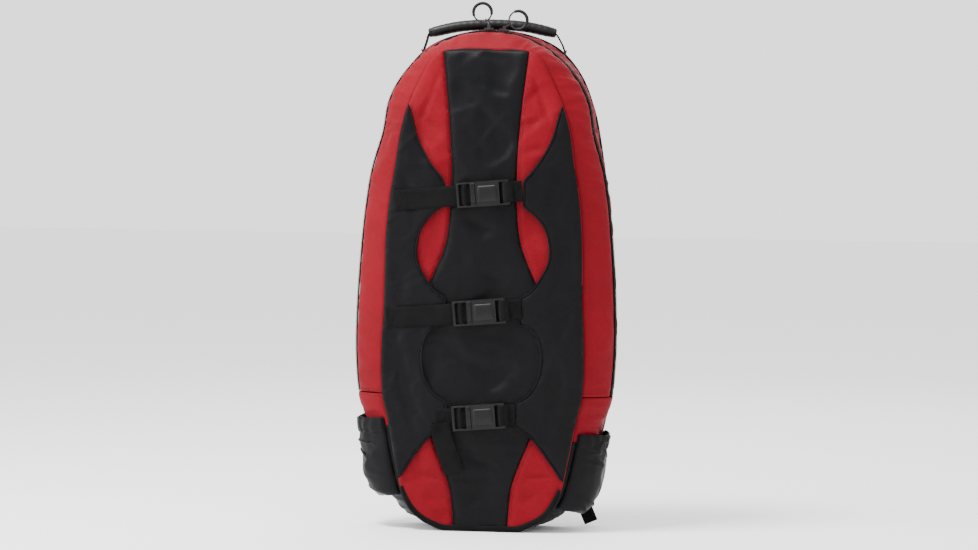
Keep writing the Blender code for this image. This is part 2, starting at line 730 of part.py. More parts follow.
def ring_mesh(name, minor, hollow, start, end, pieces):
    """Round wire bent to the ring's radius; a hollow one is a sleeve on that wire."""
    closed = end - start > 2 * math.pi - 0.01
    centres = ring_section(RING_RADIUS, start, end, pieces, closed)
    sides = 8
    radii = (minor, hollow) if hollow else (minor,)
    points = []
    for radius in radii:
        for centre in centres:
            out = centre.normalized()
            for side in range(sides):
                turn = 2 * math.pi * side / sides
                depth = Vector((0, radius * math.sin(turn), 0))
                points.append(centre + out * radius * math.cos(turn) + depth)
    rows = len(centres)
    faces = []
    for layer in range(len(radii)):
        base = layer * rows * sides
        for i in range(rows if closed else rows - 1):
            for k in range(sides):
                here, there = base + i * sides, base + (i + 1) % rows * sides
                faces.append([here + k, here + (k + 1) % sides, there + (k + 1) % sides, there + k])
    if hollow:
        inner = rows * sides
        for row in (0, (rows - 1) * sides):
            for k in range(sides):
                after = (k + 1) % sides
                faces.append([row + k, row + after, inner + row + after, inner + row + k])
    return closed_mesh(name, points, faces)


def zip_pulls():
    slider, tab = slider_mesh(), tab_mesh()
    ring = ring_mesh("pull_ring", RING_WIRE, None, 0, 2 * math.pi, 28)
    middle = math.radians(20)
    start, end = middle - GRIP_ARC / 2, middle + GRIP_ARC / 2
    grip = ring_mesh("ring_grip", GRIP_RADIUS, RING_WIRE + GAP, start, end, 16)
    for side, (angle, lean) in SLIDERS.items():
        turn = Matrix.Rotation(math.radians(angle), 4, "Y")
        centre = Matrix.Translation((0, ZIP_Y, ARC_CENTRE_Z))
        arc = axis_empty(f"slider_{side}_axis", centre.translation)
        on_zip = centre @ turn @ Matrix.Translation((0, 0, ARC_RADIUS))
        place(f"zip_slider_{side}", slider, "slider_metal", on_zip, arc)
        pin = on_zip @ Matrix.Translation((0, 0, SLIDER_RISE))
        standing = Matrix.Translation(pin.translation) @ Matrix.Rotation(math.radians(lean), 4, "Y")
        place(f"pull_tab_{side}", tab, "slider_metal", standing, arc)
        ring_centre = TAB_LENGTH - 3 * MM + RING_RADIUS
        held = standing @ Matrix.Translation((0, 0, ring_centre))
        place(f"pull_ring_{side}", ring, "slider_metal", held, arc)
        place(f"ring_grip_{side}", grip, "grip_plastic", held, arc)


# ---------------------------------------------------------------- handle, back and harness


def handle():
    hinge = axis_empty("handle_axis", (0, HANDLE_ANCHOR[1], HANDLE_ANCHOR[2]))
    centreline = smooth([(x * MM, z * MM) for x, z in HANDLE_PATH], 4)
    path = [Vector((p.x, HANDLE_Y, p.y)) for p in centreline]
    sections = []
    for radius in (HANDLE_TUBE, HANDLE_BORE):
        for i, centre in enumerate(path):
            along = (path[min(i + 1, len(path) - 1)] - path[max(i - 1, 0)]).normalized()
            up = along.cross(Vector((0, 1, 0))).normalized()
            for k in range(12):
                turn = 2 * math.pi * k / 12
                ring = up * math.cos(turn) + Vector((0, math.sin(turn), 0))
                sections.append(centre + ring * radius)
    rows, faces = len(path), []
    for base in (0, rows * 12):
        for i in range(rows - 1):
            for k in range(12):
                here, there = base + i * 12, base + (i + 1) * 12
                faces.append([here + k, here + (k + 1) % 12, there + (k + 1) % 12, there + k])
    for row in (0, (rows - 1) * 12):
        for k in range(12):
            after = (k + 1) % 12
            faces.append([row + k, row + after, rows * 12 + row + after, rows * 12 + row + k])
    place("handle_sleeve", closed_mesh("handle_sleeve", sections, faces), "grip_plastic", parent=hinge)
    x, y, z = HANDLE_ANCHOR
    left = [Vector((-x, y, z)), Vector((-x + 5 * MM, y - 2 * MM, z + 14 * MM))]
    right = [Vector((-p.x, p.y, p.z)) for p in reversed(left)]
    webbing = left + path[::2] + right
    widths = [12 * MM] * 2 + [8 * MM] * len(path[::2]) + [12 * MM] * 2
    data = ribbon_mesh("handle_webbing", webbing, Vector((0, 1, 0)), widths, WEBBING)
    place("handle_webbing", data, "webbing", parent=hinge)


def back():
    rows = [on_half(SEAM_HALF, s) for s in steps_between(0, BOTTOM_STATION, BOTTOM_STATION)]
    outline = tidy_outline(rows + mirrored(rows[1:-1]))
    back_face = lambda x, z: SEAM_Y + GAP
    plate("back_panel", "black_fabric", outline, back_face, PANEL, 60 * MM)
    pad = [Vector((p.x * 0.78, 360 * MM + (p.y - 360 * MM) * 0.80)) for p in outline]
    pad_face = lambda x, z: SEAM_Y + PANEL + 2 * GAP
    plate("back_foam_pad", "foam_mesh", tidy_outline(pad), pad_face, FOAM, 60 * MM)
    low = (-48 * MM, RIM_Y + 4 * MM, WALL + GAP)
    high = (48 * MM, SEAM_Y - 2 * MM, WALL + GAP + 3 * MM)
    place("base_board", box_mesh("base_board", low, high), "stiffener")


def binding():
    path = []
    for station in steps_between(15.5, 2 * BOTTOM_STATION - 15.5, 20):
        point = on_half(RIM_HALF, station)
        path.append(Vector((point.x * 0.975, RIM_Y - PANEL - 2.6 * MM, point.y + 3 * MM)))
    tube("bottom_binding", "webbing", path, 2 * MM)


def harness():
    for side, turn in (("left", -1), ("right", 1)):
        shoulder_strap(side, turn)
        centre = Vector((turn * 96 * MM, 74 * MM, 228 * MM))
        standing = Matrix.Translation(centre) @ Matrix.Rotation(math.pi / 2, 4, "X")
        place(f"ladder_lock_{side}", ladder_lock_mesh(), "buckle_plastic", standing)
        routes = {"lower_webbing": LOWER_WEBBING, "webbing_tail": WEBBING_TAILS[side]}
        for word, route in routes.items():
            path = [Vector((turn * x, y, z)) * MM for x, y, z in route]
            name = f"{word}_{side}"
            data = ribbon_mesh(name, path, Vector((1, 0, 0)), 20 * MM, 1.6 * MM)
            place(name, data, "webbing")


def shoulder_strap(side, turn):
    route = [Vector((turn * x, y, z)) * MM for x, y, z in SHOULDER_ROUTE]
    widths = [width * MM for width in SHOULDER_WIDTHS]
    name = f"shoulder_strap_{side}"
    place(name, ribbon_mesh(name, route, Vector((1, 0, 0)), widths, 11 * MM), "foam_mesh")


def ladder_lock_mesh():
    outlines = [
        rounded((-14 * MM, -14 * MM), (14 * MM, 14 * MM), 3 * MM),
        rectangle((-10.5 * MM, 3 * MM), (10.5 * MM, 8 * MM)),
        rectangle((-10.5 * MM, -8 * MM), (10.5 * MM, -2.5 * MM)),
    ]
    return flat_mesh("ladder_lock", outlines, 4 * MM)


def main():
    clear_scene()
    side_walls()
    front_panels()
    binding()
    wings()
    straps()
    buckles()
    side_pockets()
    zip_pulls()
    back()
    handle()
    harness()


main()
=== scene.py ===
"""Looks of the ski bag: sewn fabric, webbing, zip, buckles, pockets and harness on the CAD frame.

Metres, +Z up, the front faces -Y. The outlines repeat the design's driving dimensions, so that each
fabric piece is meshed finely on the same surfaces as its CAD solid.
"""
import math

import bmesh
import bpy
import numpy as np
from mathutils import Matrix, Quaternion, Vector, noise
from mathutils.geometry import delaunay_2d_cdt


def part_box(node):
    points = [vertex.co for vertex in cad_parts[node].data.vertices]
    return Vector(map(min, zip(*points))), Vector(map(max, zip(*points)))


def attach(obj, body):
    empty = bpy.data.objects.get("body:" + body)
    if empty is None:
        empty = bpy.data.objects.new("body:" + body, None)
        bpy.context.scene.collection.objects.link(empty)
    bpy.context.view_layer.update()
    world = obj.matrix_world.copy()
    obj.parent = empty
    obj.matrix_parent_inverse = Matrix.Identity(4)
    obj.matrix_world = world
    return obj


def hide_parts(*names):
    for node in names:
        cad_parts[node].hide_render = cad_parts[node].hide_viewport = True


MM = 0.001

# Depth of the body: front edge of the side wall, middle of the zip and back seam
RIM_Y, ZIP_Y, SEAM_Y = -46 * MM, -5 * MM, 45 * MM
ZIP_HALF_WIDTH = 4 * MM
PANEL = 4 * MM
WING = 3.5 * MM
FRONT_DOME = 11 * MM

# Half outlines in mm as (x, z), from the top centre to the bottom centre, on shared stations
RIM_HALF = [
    (0, 692), (40, 691.5), (74, 684), (94, 651), (111, 613), (122, 575), (130, 520), (138, 470),
    (142, 410), (143, 330), (146, 255), (144, 196), (136, 160), (131, 130), (126, 104), (117, 62),
    (106, 36), (91, 18), (70, 6), (50, 0), (0, 0),
]
SEAM_HALF = [
    (0, 722), (50, 716), (96, 696), (129, 658), (148, 611), (157, 572), (165, 520), (171, 470),
    (175, 410), (180, 330), (181, 255), (178, 196), (172, 160), (165, 130), (157, 104), (141, 62),
    (122, 33), (102, 16), (76, 5), (50, 0), (0, 0),
]
ZIP_LOWER_HALF = [
    (153, 572), (168, 520), (176, 470), (182, 410), (187, 330), (188, 255), (183, 196), (172, 160),
    (163, 130), (155, 104), (141, 62), (122, 33), (102, 16), (76, 5), (50, 0), (0, 0),
]
ARC_CENTRE_Z, ARC_RADIUS = 565, 154
ARC_ANGLES = (0, 18, 36, 54, 70)
SEAM_STATION = 11
BOTTOM_STATION = 20
LOWEST_FLANK_Z = 356 * MM
CORNER_TOP_Z = 152 * MM

WING_EDGE = [
    [(111, 611), (106, 595), (98, 565), (80, 531), (58, 503)],
    [(58, 503), (58, 468)],
    [(58, 468), (80, 449), (93, 425), (95, 389), (75, 352), (53, 334)],
    [(53, 334), (54, 299)],
    [(54, 299), (72, 292), (85, 265), (84, 228), (70, 200), (50, 186)],
    [(50, 186), (47, 155)],
    [(47, 155), (72, 138), (93, 112), (120, 72)],
]
STRIPE_EDGE = [(51, 590), (47, 520), (48, 460), (55, 410), (77, 356)]
CORNER_EDGE = [(72, 136), (62, 112), (51, 84), (43, 54), (39, 1)]

STRAP_TILT = math.radians(5)
STRAP_WIDTH = 30 * MM
STRAPS = [
    {"x": 0, "z": 485, "left": -129, "right": 58},
    {"x": -3, "z": 316, "left": -139, "right": 58},
    {"x": -2, "z": 166, "left": -64, "right": 50},
]
STRAP_OFFSET = 5.6 * MM
POCKET_STATIONS = {"left": (12.0, 15.4), "right": (12.6, 16.0)}
POCKET_FRONT_Y, POCKET_BACK_Y = -43 * MM, 43 * MM
POCKET_BULGE = (11 * MM, 19 * MM)

# How far the red side pieces reach below the pocket mouths, in stations
SIDE_BELOW_MOUTH = 0.35

# Side wall mesh: stations between two rows of points, and how far it sinks into its seams
WALL_STEP, WALL_TUCK = 0.07, 1.5 * MM

# Length that one station stands for in the flat cloth of the side wall
STATION_LENGTH = 45 * MM

# Harness routes in mm as (x, y, z) on the right side, and the shoulder strap's width at each point
SHOULDER_ROUTE = [
    (40, 69, 640), (58, 82, 596), (74, 93, 520), (82, 95, 430), (88, 86, 330), (94, 76, 250),
]
SHOULDER_WIDTHS = [48, 62, 66, 62, 54, 44]
LOWER_WEBBING = [(97, 70, 238), (107, 67, 190), (124, 64, 124), (136, 51, 62)]
WEBBING_TAILS = {
    "right": [(97, 78, 238), (103, 76, 190), (116, 72, 110), (131, 67, 50), (144, 62, 24), (153, 56, 5)],
    "left": [(97, 78, 238), (101, 77, 190), (104, 76, 130), (103, 76, 80)],
}

# Grab handle: middle of the padded tube in mm as (x, z), its depth, and its sewn ends
HANDLE_PATH = [(-94, 719), (-50, 728.5), (-3, 731.5), (45, 729), (90, 720)]
HANDLE_Y = 50 * MM
HANDLE_ANCHOR = (105 * MM, 56.5 * MM, 690 * MM)

# How far the front panels sink into their seams, and how far from a seam that reaches
SEAM_SINK, SEAM_REACH = 2.6 * MM, 4.5 * MM

# Single folds in the cloth: start, end, width and height, in mm
FRONT_FOLDS = [
    ((-60, 672), (-98, 575), 4, -4.5), ((60, 672), (100, 570), 4, -4.5),
    ((-96, 600), (-56, 566), 7, -4), ((-90, 560), (-54, 520), 6, 3), ((-74, 640), (-56, 600), 6, -3.5),
    ((96, 604), (56, 580), 7, -4), ((88, 556), (50, 540), 6, -3.5), ((76, 644), (58, 612), 6, -3.5),
    ((-46, 648), (34, 560), 9, -5), ((-20, 655), (46, 618), 8, -4), ((-44, 590), (20, 520), 10, -5),
    ((-30, 690), (30, 676), 5, -3), ((44, 575), (6, 528), 8, -4), ((-40, 455), (36, 420), 9, -4),
    ((-50, 400), (40, 352), 11, -4), ((-60, 262), (44, 214), 12, -4.5), ((60, 250), (-10, 192), 9, -4),
    ((-36, 120), (30, 88), 8, -5), ((-40, 60), (34, 44), 7, -4), ((20, 76), (-22, 30), 8, -4),
    ((-100, 84), (-46, 74), 5, -4), ((104, 84), (48, 78), 5, -4), ((-84, 50), (-48, 40), 6, -3),
    ((84, 56), (50, 40), 6, -3),
]
WING_FOLDS = [
    ((-134, 300), (-104, 180), 8, -5), ((-122, 260), (-92, 118), 8, -5),
    ((-112, 200), (-76, 150), 7, -4), ((-128, 400), (-112, 320), 9, -4),
    ((-118, 520), (-96, 440), 8, -4), ((-136, 350), (-100, 300), 7, -3.5),
    ((132, 330), (98, 250), 9, -5), ((124, 250), (92, 150), 8, -5), ((118, 180), (84, 128), 7, -4),
    ((128, 430), (108, 350), 9, -4), ((116, 530), (92, 470), 8, -4), ((136, 380), (104, 352), 7, -3.5),
]

# Buckle mouldings over the CAD halves, in mm in the buckle's own frame:
# name, centre, size, edge rounding, crown, and whether it is on the plug
BUCKLE_MOULDINGS = [
    ("face", (6.5, 0, 12.4), (28, 24, 1.6), 0.5, 1.0, False),
    ("shoulder", (-14, 0, 10.8), (7, 34, 1.6), 0.4, 0.0, True),
    ("first_bar", (-36, 0, 10.8), (3.4, 34.4, 1.4), 0.3, 0.0, True),
]
BUCKLE_RAIL = ((-27, 16.6, 10.8), (16, 2.4, 1.2), 0.3)
BUCKLE_RIB = ((-15.5, 12.5, 12.0), (0.9, 6, 0.8), 0.2)
RIB_PITCH = 1.8

# Camera: what the picture spans at the object, its aim, and its direction
CAMERA_DISTANCE = 4.2
PICTURE_WIDTH = 1.418
CAMERA_AIM = (0.003, 0.0, 0.367)
CAMERA_AZIMUTH = math.radians(6)
CAMERA_ELEVATION = math.radians(2)
CAMERA_ROLL = math.radians(0.8)


# ---------------------------------------------------------------- outlines and surfaces


def zip_half():
    arc = []
    for angle in ARC_ANGLES:
        turn = math.radians(angle)
        arc.append((ARC_RADIUS * math.sin(turn), ARC_CENTRE_Z + ARC_RADIUS * math.cos(turn)))
    return arc + ZIP_LOWER_HALF


def closed_loop(half):
    right = np.array(half, float) * MM
    left = right[-2:0:-1] * (-1, 1)
    return np.vstack([right, left])


RIM, ZIP, SEAM = (closed_loop(half) for half in (RIM_HALF, zip_half(), SEAM_HALF))


def on_loop(loop, stations):
    """Outline points at stations, which count down the right side and back up the left."""
    stations = np.mod(np.asarray(stations, float), len(loop))
    k = np.floor(stations).astype(int)
    part = (stations - k)[..., None]
    p0, p1, p2, p3 = (loop[(k + i) % len(loop)] for i in (-1, 0, 1, 2))
    cubic = -p0 + 3 * p1 - 3 * p2 + p3
    square = 2 * p0 - 5 * p1 + 4 * p2 - p3
    point = 0.5 * (2 * p1 + (p2 - p0) * part + square * part**2 + cubic * part**3)
    point[..., 1] = np.maximum(point[..., 1], 0)
    return point


def wall_middle(stations, y):
    """Side wall in (x, z): it swells from the rim to the zip line, then eases to the back seam."""
    rim, zip_line, seam = (on_loop(loop, stations) for loop in (RIM, ZIP, SEAM))
    swell = np.sin(math.pi / 2 * np.clip((y - RIM_Y) / (ZIP_Y - RIM_Y), 0, 1))[..., None]
    ease = 1 - np.cos(math.pi / 2 * np.clip((y - ZIP_Y) / (SEAM_Y - ZIP_Y), 0, 1))[..., None]
    return rim + (zip_line - rim) * swell + (seam - zip_line) * ease


def wall(stations, y, out=0.0):
    """Points of the side wall, moved out along the outline's normal."""
    stations, y = np.broadcast_arrays(np.asarray(stations, float), np.asarray(y, float))
    middle = wall_middle(stations, y)
    along = wall_middle(stations + 0.02, y) - wall_middle(stations - 0.02, y)
    along /= np.linalg.norm(along, axis=-1, keepdims=True)
    x = middle[..., 0] - along[..., 1] * out
    z = middle[..., 1] + along[..., 0] * out
    return np.stack([x, y, z], axis=-1)


DENSE_RIM = on_loop(RIM, np.linspace(1.0, BOTTOM_STATION - 1, 600))


def half_width(z):
    return np.interp(z, DENSE_RIM[::-1, 1], DENSE_RIM[::-1, 0])


def front_y(x, z):
    """Y of the front panels' outer face."""
    width = half_width(np.clip(z, 10 * MM, 688 * MM))
    across = np.maximum(0, 1 - (x / width) ** 2)
    along = np.maximum(0, 1 - np.abs((z - 346 * MM) / (346 * MM)) ** 5)
    return RIM_Y - PANEL - FRONT_DOME * across * along


def smooth(points, steps):
    """Curve through 2D or 3D points, with the given number of steps between each two."""
    chain = np.array(points, float)
    chain = np.vstack([2 * chain[0] - chain[1], chain, 2 * chain[-1] - chain[-2]])
    curve = []
    for k in range(1, len(chain) - 2):
        p0, p1, p2, p3 = chain[k - 1 : k + 3]
        for step in range(steps):
            t = step / steps
            cubic = (-p0 + 3 * p1 - 3 * p2 + p3) * t**3
            square = (2 * p0 - 5 * p1 + 4 * p2 - p3) * t**2
            curve.append(0.5 * (2 * p1 + (p2 - p0) * t + square + cubic))
    curve.append(chain[-2])
    return np.array(curve)


def resampled(line, spacing):
    """The same polyline with evenly spaced points."""
    lengths = np.concatenate([[0], np.cumsum(np.linalg.norm(np.diff(line, axis=0), axis=1))])
    count = max(2, int(round(lengths[-1] / spacing)) + 1)
    marks = np.linspace(0, lengths[-1], count)
    return np.stack([np.interp(marks, lengths, line[:, k]) for k in range(line.shape[1])], axis=1)


def mirrored(points):
    return (np.array(points) * (-1, 1))[::-1]


# ---------------------------------------------------------------- wrinkles


def soft_noise(x, z, scale_x, scale_z, seed):
    flat = zip(np.ravel(x) / scale_x, np.ravel(z) / scale_z)
    values = [noise.noise(Vector((a, b, seed))) for a, b in flat]
    return np.array(values).reshape(np.shape(x))


def creases(x, z, angle, length, width, seed):
    """Sharp folds running at an angle: 1 along a crease, 0 between creases."""
    turn = math.radians(angle)
    along = x * math.cos(turn) + z * math.sin(turn)
    across = -x * math.sin(turn) + z * math.cos(turn)
    value = soft_noise(along, across, length, width, seed)
    return np.maximum(0, 1 - np.abs(value) * 3.5) ** 2


def bump(x, z, centre, radius):
    """1 at the centre, falling smoothly to 0."""
    away = ((x - centre[0] * MM) ** 2 + (z - centre[1] * MM) ** 2) / (radius * MM) ** 2
    return np.exp(-away)


def folds(x, z, lines):
    """Soft ridges and creases along straight lines, each fading at both ends."""
    relief = np.zeros(np.shape(x))
    for start, end, width, height in lines:
        first, span = np.array(start) * MM, (np.array(end) - np.array(start)) * MM
        part = np.clip(((x - first[0]) * span[0] + (z - first[1]) * span[1]) / (span @ span), 0, 1)
        away = (x - first[0] - part * span[0]) ** 2 + (z - first[1] - part * span[1]) ** 2
        relief += height * MM * np.exp(-away / (width * MM) ** 2) * np.sin(math.pi * part)
    return relief


# ---------------------------------------------------------------- mesh builders


def mesh_object(name, points, faces, uvs=None, smooth_shaded=True):
    """Object from arrays; uvs are per point, in metres."""
    data = bpy.data.meshes.new(name)
    data.from_pydata([tuple(p) for p in points], [], [tuple(int(i) for i in f) for f in faces])
    data.validate()
    if uvs is not None:
        layer = data.uv_layers.new(name="cloth")
        corner = np.empty(len(data.loops), dtype=np.int32)
        data.loops.foreach_get("vertex_index", corner)
        layer.data.foreach_set("uv", np.asarray(uvs, np.float32)[corner].ravel())
    if smooth_shaded:
        data.shade_smooth()
    item = bpy.data.objects.new(name, data)
    bpy.context.scene.collection.objects.link(item)
    return item


def finish_piece(item, slot, body, *nodes):
    item.data.materials.clear()
    item.data.materials.append(MATERIALS[slot])
    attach(item, body)
    if nodes:
        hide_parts(*nodes)
    return item


def thick(item, thickness, inwards=True):
    """Gives an open sheet its thickness, away from its outer face."""
    layer = item.modifiers.new("thickness", "SOLIDIFY")
    layer.thickness = thickness
    layer.offset = -1 if inwards else 1
    return item


def grid_faces(rows, columns):
    faces = []
    for i in range(rows - 1):
        for j in range(columns - 1):
            here, there = i * columns + j, (i + 1) * columns + j
            faces.append((here, there, there + 1, here + 1))
    return faces


def edge_distance(outline, points):
    """Distance of each point from a closed outline."""
    start = outline
    span = np.roll(outline, -1, axis=0) - outline
    nearest = np.full(len(points), 1.0)
    for a, d in zip(start, span):
        part = np.clip(((points - a) @ d) / max(d @ d, 1e-12), 0, 1)
        away = np.linalg.norm(points - a - part[:, None] * d, axis=1)
        nearest = np.minimum(nearest, away)
    return nearest


def inside(outline, points):
    crossings = np.zeros(len(points), int)
    last = np.roll(outline, 1, axis=0)
    for (x0, z0), (x1, z1) in zip(outline, last):
        if z0 == z1:
            continue
        spans = (z0 > points[:, 1]) != (z1 > points[:, 1])
        reach = x0 + (points[:, 1] - z0) * (x1 - x0) / (z1 - z0)
        crossings += spans & (points[:, 0] < reach)
    return crossings % 2 == 1


def cut_sheet(outline, spacing):
    """Points and triangles of a flat fabric piece, with the distance of each point from its edge."""
    outline = resampled(np.vstack([outline, outline[:1]]), spacing)[:-1]
    low, high = outline.min(axis=0), outline.max(axis=0)
    columns = np.arange(low[0], high[0], spacing)
    rows = np.arange(low[1], high[1], spacing * 0.87)
    inner = []
    for k, z in enumerate(rows):
        shift = spacing / 2 if k % 2 else 0.0
        inner.append(np.stack([columns + shift, np.full(len(columns), z)], axis=1))
    inner = np.vstack(inner)
    inner = inner[inside(outline, inner)]
    inner = inner[edge_distance(outline, inner) > spacing * 0.55]
    flat = [Vector(p) for p in np.vstack([outline, inner])]
    points, _, triangles, _, _, _ = delaunay_2d_cdt(flat, [], [list(range(len(outline)))], 1, 1e-7)
    points = np.array([tuple(p) for p in points])
    return points, triangles, edge_distance(outline, points), outline


def sewn_panel(name, outline, height, spacing, seam_depth, seam_width):
    """Fabric piece lifted on to height(x, z), sinking into the seam along its edge."""
    flat, triangles, away, edge = cut_sheet(outline, spacing)
    x, z = flat[:, 0], flat[:, 1]
    sink = seam_depth * np.exp(-((away / seam_width) ** 2))
    points = np.stack([x, height(x, z) + sink, z], axis=1)
    faces = [tuple(t) for t in triangles]
    item = mesh_object(name, points, faces, uvs=flat)
    face_front(item)
    return item, edge


def face_front(item):
    """Turns a sheet's faces towards -Y."""
    shape = bmesh.new()
    shape.from_mesh(item.data)
    wrong = [face for face in shape.faces if face.normal.y > 0]
    bmesh.ops.reverse_faces(shape, faces=wrong)
    shape.to_mesh(item.data)
    shape.free()


def frame_along(path, across):
    """Tangent, side and up of each point of a path."""
    along = np.gradient(path, axis=0)
    along /= np.linalg.norm(along, axis=1, keepdims=True)
    across = np.broadcast_to(np.asarray(across, float), path.shape)
    side = across - along * np.sum(along * across, axis=1, keepdims=True)
    side /= np.linalg.norm(side, axis=1, keepdims=True)
    return along, side, np.cross(along, side)


def webbing(name, path, across, width, thickness=1.7 * MM, body="bag", nodes=(), spacing=2 * MM):
    """Woven strap along a path, with thicker selvedges and its weave's UVs in metres."""
    path = resampled(smooth(path, 6), spacing)
    _, side, up = frame_along(path, across)
    profile = [
        (-1, -0.25), (-0.96, -0.5), (-0.6, -0.42), (0, -0.4), (0.6, -0.42), (0.96, -0.5), (1, -0.25),
        (1, 0.25), (0.96, 0.5), (0.6, 0.42), (0, 0.4), (-0.6, 0.42), (-0.96, 0.5), (-1, 0.25),
    ]
    count = len(profile)
    points, uvs = [], []
    run = np.concatenate([[0], np.cumsum(np.linalg.norm(np.diff(path, axis=0), axis=1))])
    for centre, s, u, distance in zip(path, side, up, run):
        for a, b in profile:
            points.append(centre + s * a * width / 2 + u * b * thickness)
            uvs.append((distance, a * width / 2))
    faces = []
    for i in range(len(path) - 1):
        for k in range(count):
            here, there = i * count + k, i * count + (k + 1) % count
            faces.append((here, there, there + count, here + count))
    faces.append(tuple(range(count)))
    faces.append(tuple(reversed(range((len(path) - 1) * count, len(path) * count))))
    item = mesh_object(name, points, faces, uvs)
    repair_normals(item)
    item.data.set_sharp_from_angle(angle=math.radians(50))
    return finish_piece(item, "webbing", body, *nodes)


def repair_normals(item):
    shape = bmesh.new()
    shape.from_mesh(item.data)
    bmesh.ops.recalc_face_normals(shape, faces=shape.faces)
    shape.to_mesh(item.data)
    shape.free()


def round_tube(name, path, radius, sides=12, closed=False, squashed=1.0):
    """Tube along a path; radius may change along it."""
    path = np.asarray(path, float)
    if closed:
        along = np.roll(path, -1, axis=0) - np.roll(path, 1, axis=0)
    else:
        along = np.gradient(path, axis=0)
    along /= np.linalg.norm(along, axis=1, keepdims=True)
    helper = np.where(np.abs(along[:, 1:2]) > 0.9, [[1.0, 0, 0]], [[0, 1.0, 0]])
    side = np.cross(along, helper)
    side /= np.linalg.norm(side, axis=1, keepdims=True)
    up = np.cross(along, side)
    radius = np.broadcast_to(radius, len(path))
    turn = np.arange(sides) * 2 * math.pi / sides
    ring = side[:, None] * np.cos(turn)[:, None] + up[:, None] * np.sin(turn)[:, None] * squashed
    points = (path[:, None] + ring * radius[:, None, None]).reshape(-1, 3)
    faces = []
    rows = len(path)
    for i in range(rows if closed else rows - 1):
        after = (i + 1) % rows
        for k in range(sides):
            j = (k + 1) % sides
            faces.append((i * sides + k, i * sides + j, after * sides + j, after * sides + k))
    if not closed:
        faces.append(tuple(range(sides)))
        faces.append(tuple(reversed(range((rows - 1) * sides, rows * sides))))
    item = mesh_object(name, points, faces)
    repair_normals(item)
    return item


def stitches(name, line, normals, body, pitch=3.2 * MM, gauge=0.35 * MM, slot="webbing"):
    """Row of thread stitches along a 3D line, lying on the surface with those normals."""
    line = np.asarray(line, float)
    normals = np.broadcast_to(np.asarray(normals, float), line.shape)
    both = resampled(np.hstack([line, normals]), pitch)
    centres, normals = both[:, :3], both[:, 3:]
    points, faces = [], []
    for here, there, up in zip(centres[:-1], centres[1:], normals[:-1]):
        way = there - here
        side = np.cross(way / np.linalg.norm(way), up) * gauge
        lift = up * gauge * 1.3
        start, end, middle = here + way * 0.12, here + way * 0.88, here + way * 0.5
        base = len(points)
        points += [start, middle - side, end, middle + side, middle + lift, middle - lift]
        for a, b in ((0, 1), (1, 2), (2, 3), (3, 0)):
            faces.append((base + a, base + b, base + 4))
            faces.append((base + b, base + a, base + 5))
    item = mesh_object(name, points, faces)
    return finish_piece(item, slot, body)


# ---------------------------------------------------------------- materials


def new_material(name):
    made = bpy.data.materials.new(name)
    made.use_nodes = True
    return made, made.node_tree.nodes, made.node_tree.links, made.node_tree.nodes["Principled BSDF"]


def coordinates(nodes, links, kind, scale):
    source = nodes.new("ShaderNodeTexCoord")
    mapping = nodes.new("ShaderNodeMapping")
    mapping.inputs["Scale"].default_value = scale
    links.new(source.outputs[kind], mapping.inputs["Vector"])
    return mapping.outputs["Vector"]


def noise_texture(nodes, links, vector, scale, detail=4.0, roughness=0.6):
    texture = nodes.new("ShaderNodeTexNoise")
    texture.inputs["Scale"].default_value = scale
    texture.inputs["Detail"].default_value = detail
    texture.inputs["Roughness"].default_value = roughness
    links.new(vector, texture.inputs["Vector"])
    return texture.outputs["Fac"]


def wave_texture(nodes, links, vector, scale, direction):
    texture = nodes.new("ShaderNodeTexWave")
    texture.bands_direction = direction
    texture.inputs["Scale"].default_value = scale
    texture.inputs["Distortion"].default_value = 0.6
    links.new(vector, texture.inputs["Vector"])
    return texture.outputs["Fac"]


def calculate(nodes, links, operation, first, second):
    step = nodes.new("ShaderNodeMath")
    step.operation = operation
    for socket, value in zip(step.inputs, (first, second)):
        if isinstance(value, (int, float)):
            socket.default_value = value
        else:
            links.new(value, socket)
    return step.outputs[0]


def colour_ramp(nodes, links, factor, stops):
    ramp = nodes.new("ShaderNodeValToRGB")
    for _ in range(len(stops) - 2):
        ramp.color_ramp.elements.new(0.5)
    for element, (position, colour) in zip(ramp.color_ramp.elements, stops):
        element.position = position
        element.color = (*colour, 1)
    links.new(factor, ramp.inputs["Fac"])
    return ramp.outputs["Color"]


def add_bump(nodes, links, shader, height, strength, distance):
    relief = nodes.new("ShaderNodeBump")
    relief.inputs["Strength"].default_value = strength
    relief.inputs["Distance"].default_value = distance
    links.new(height, relief.inputs["Height"])
    links.new(relief.outputs["Normal"], shader.inputs["Normal"])


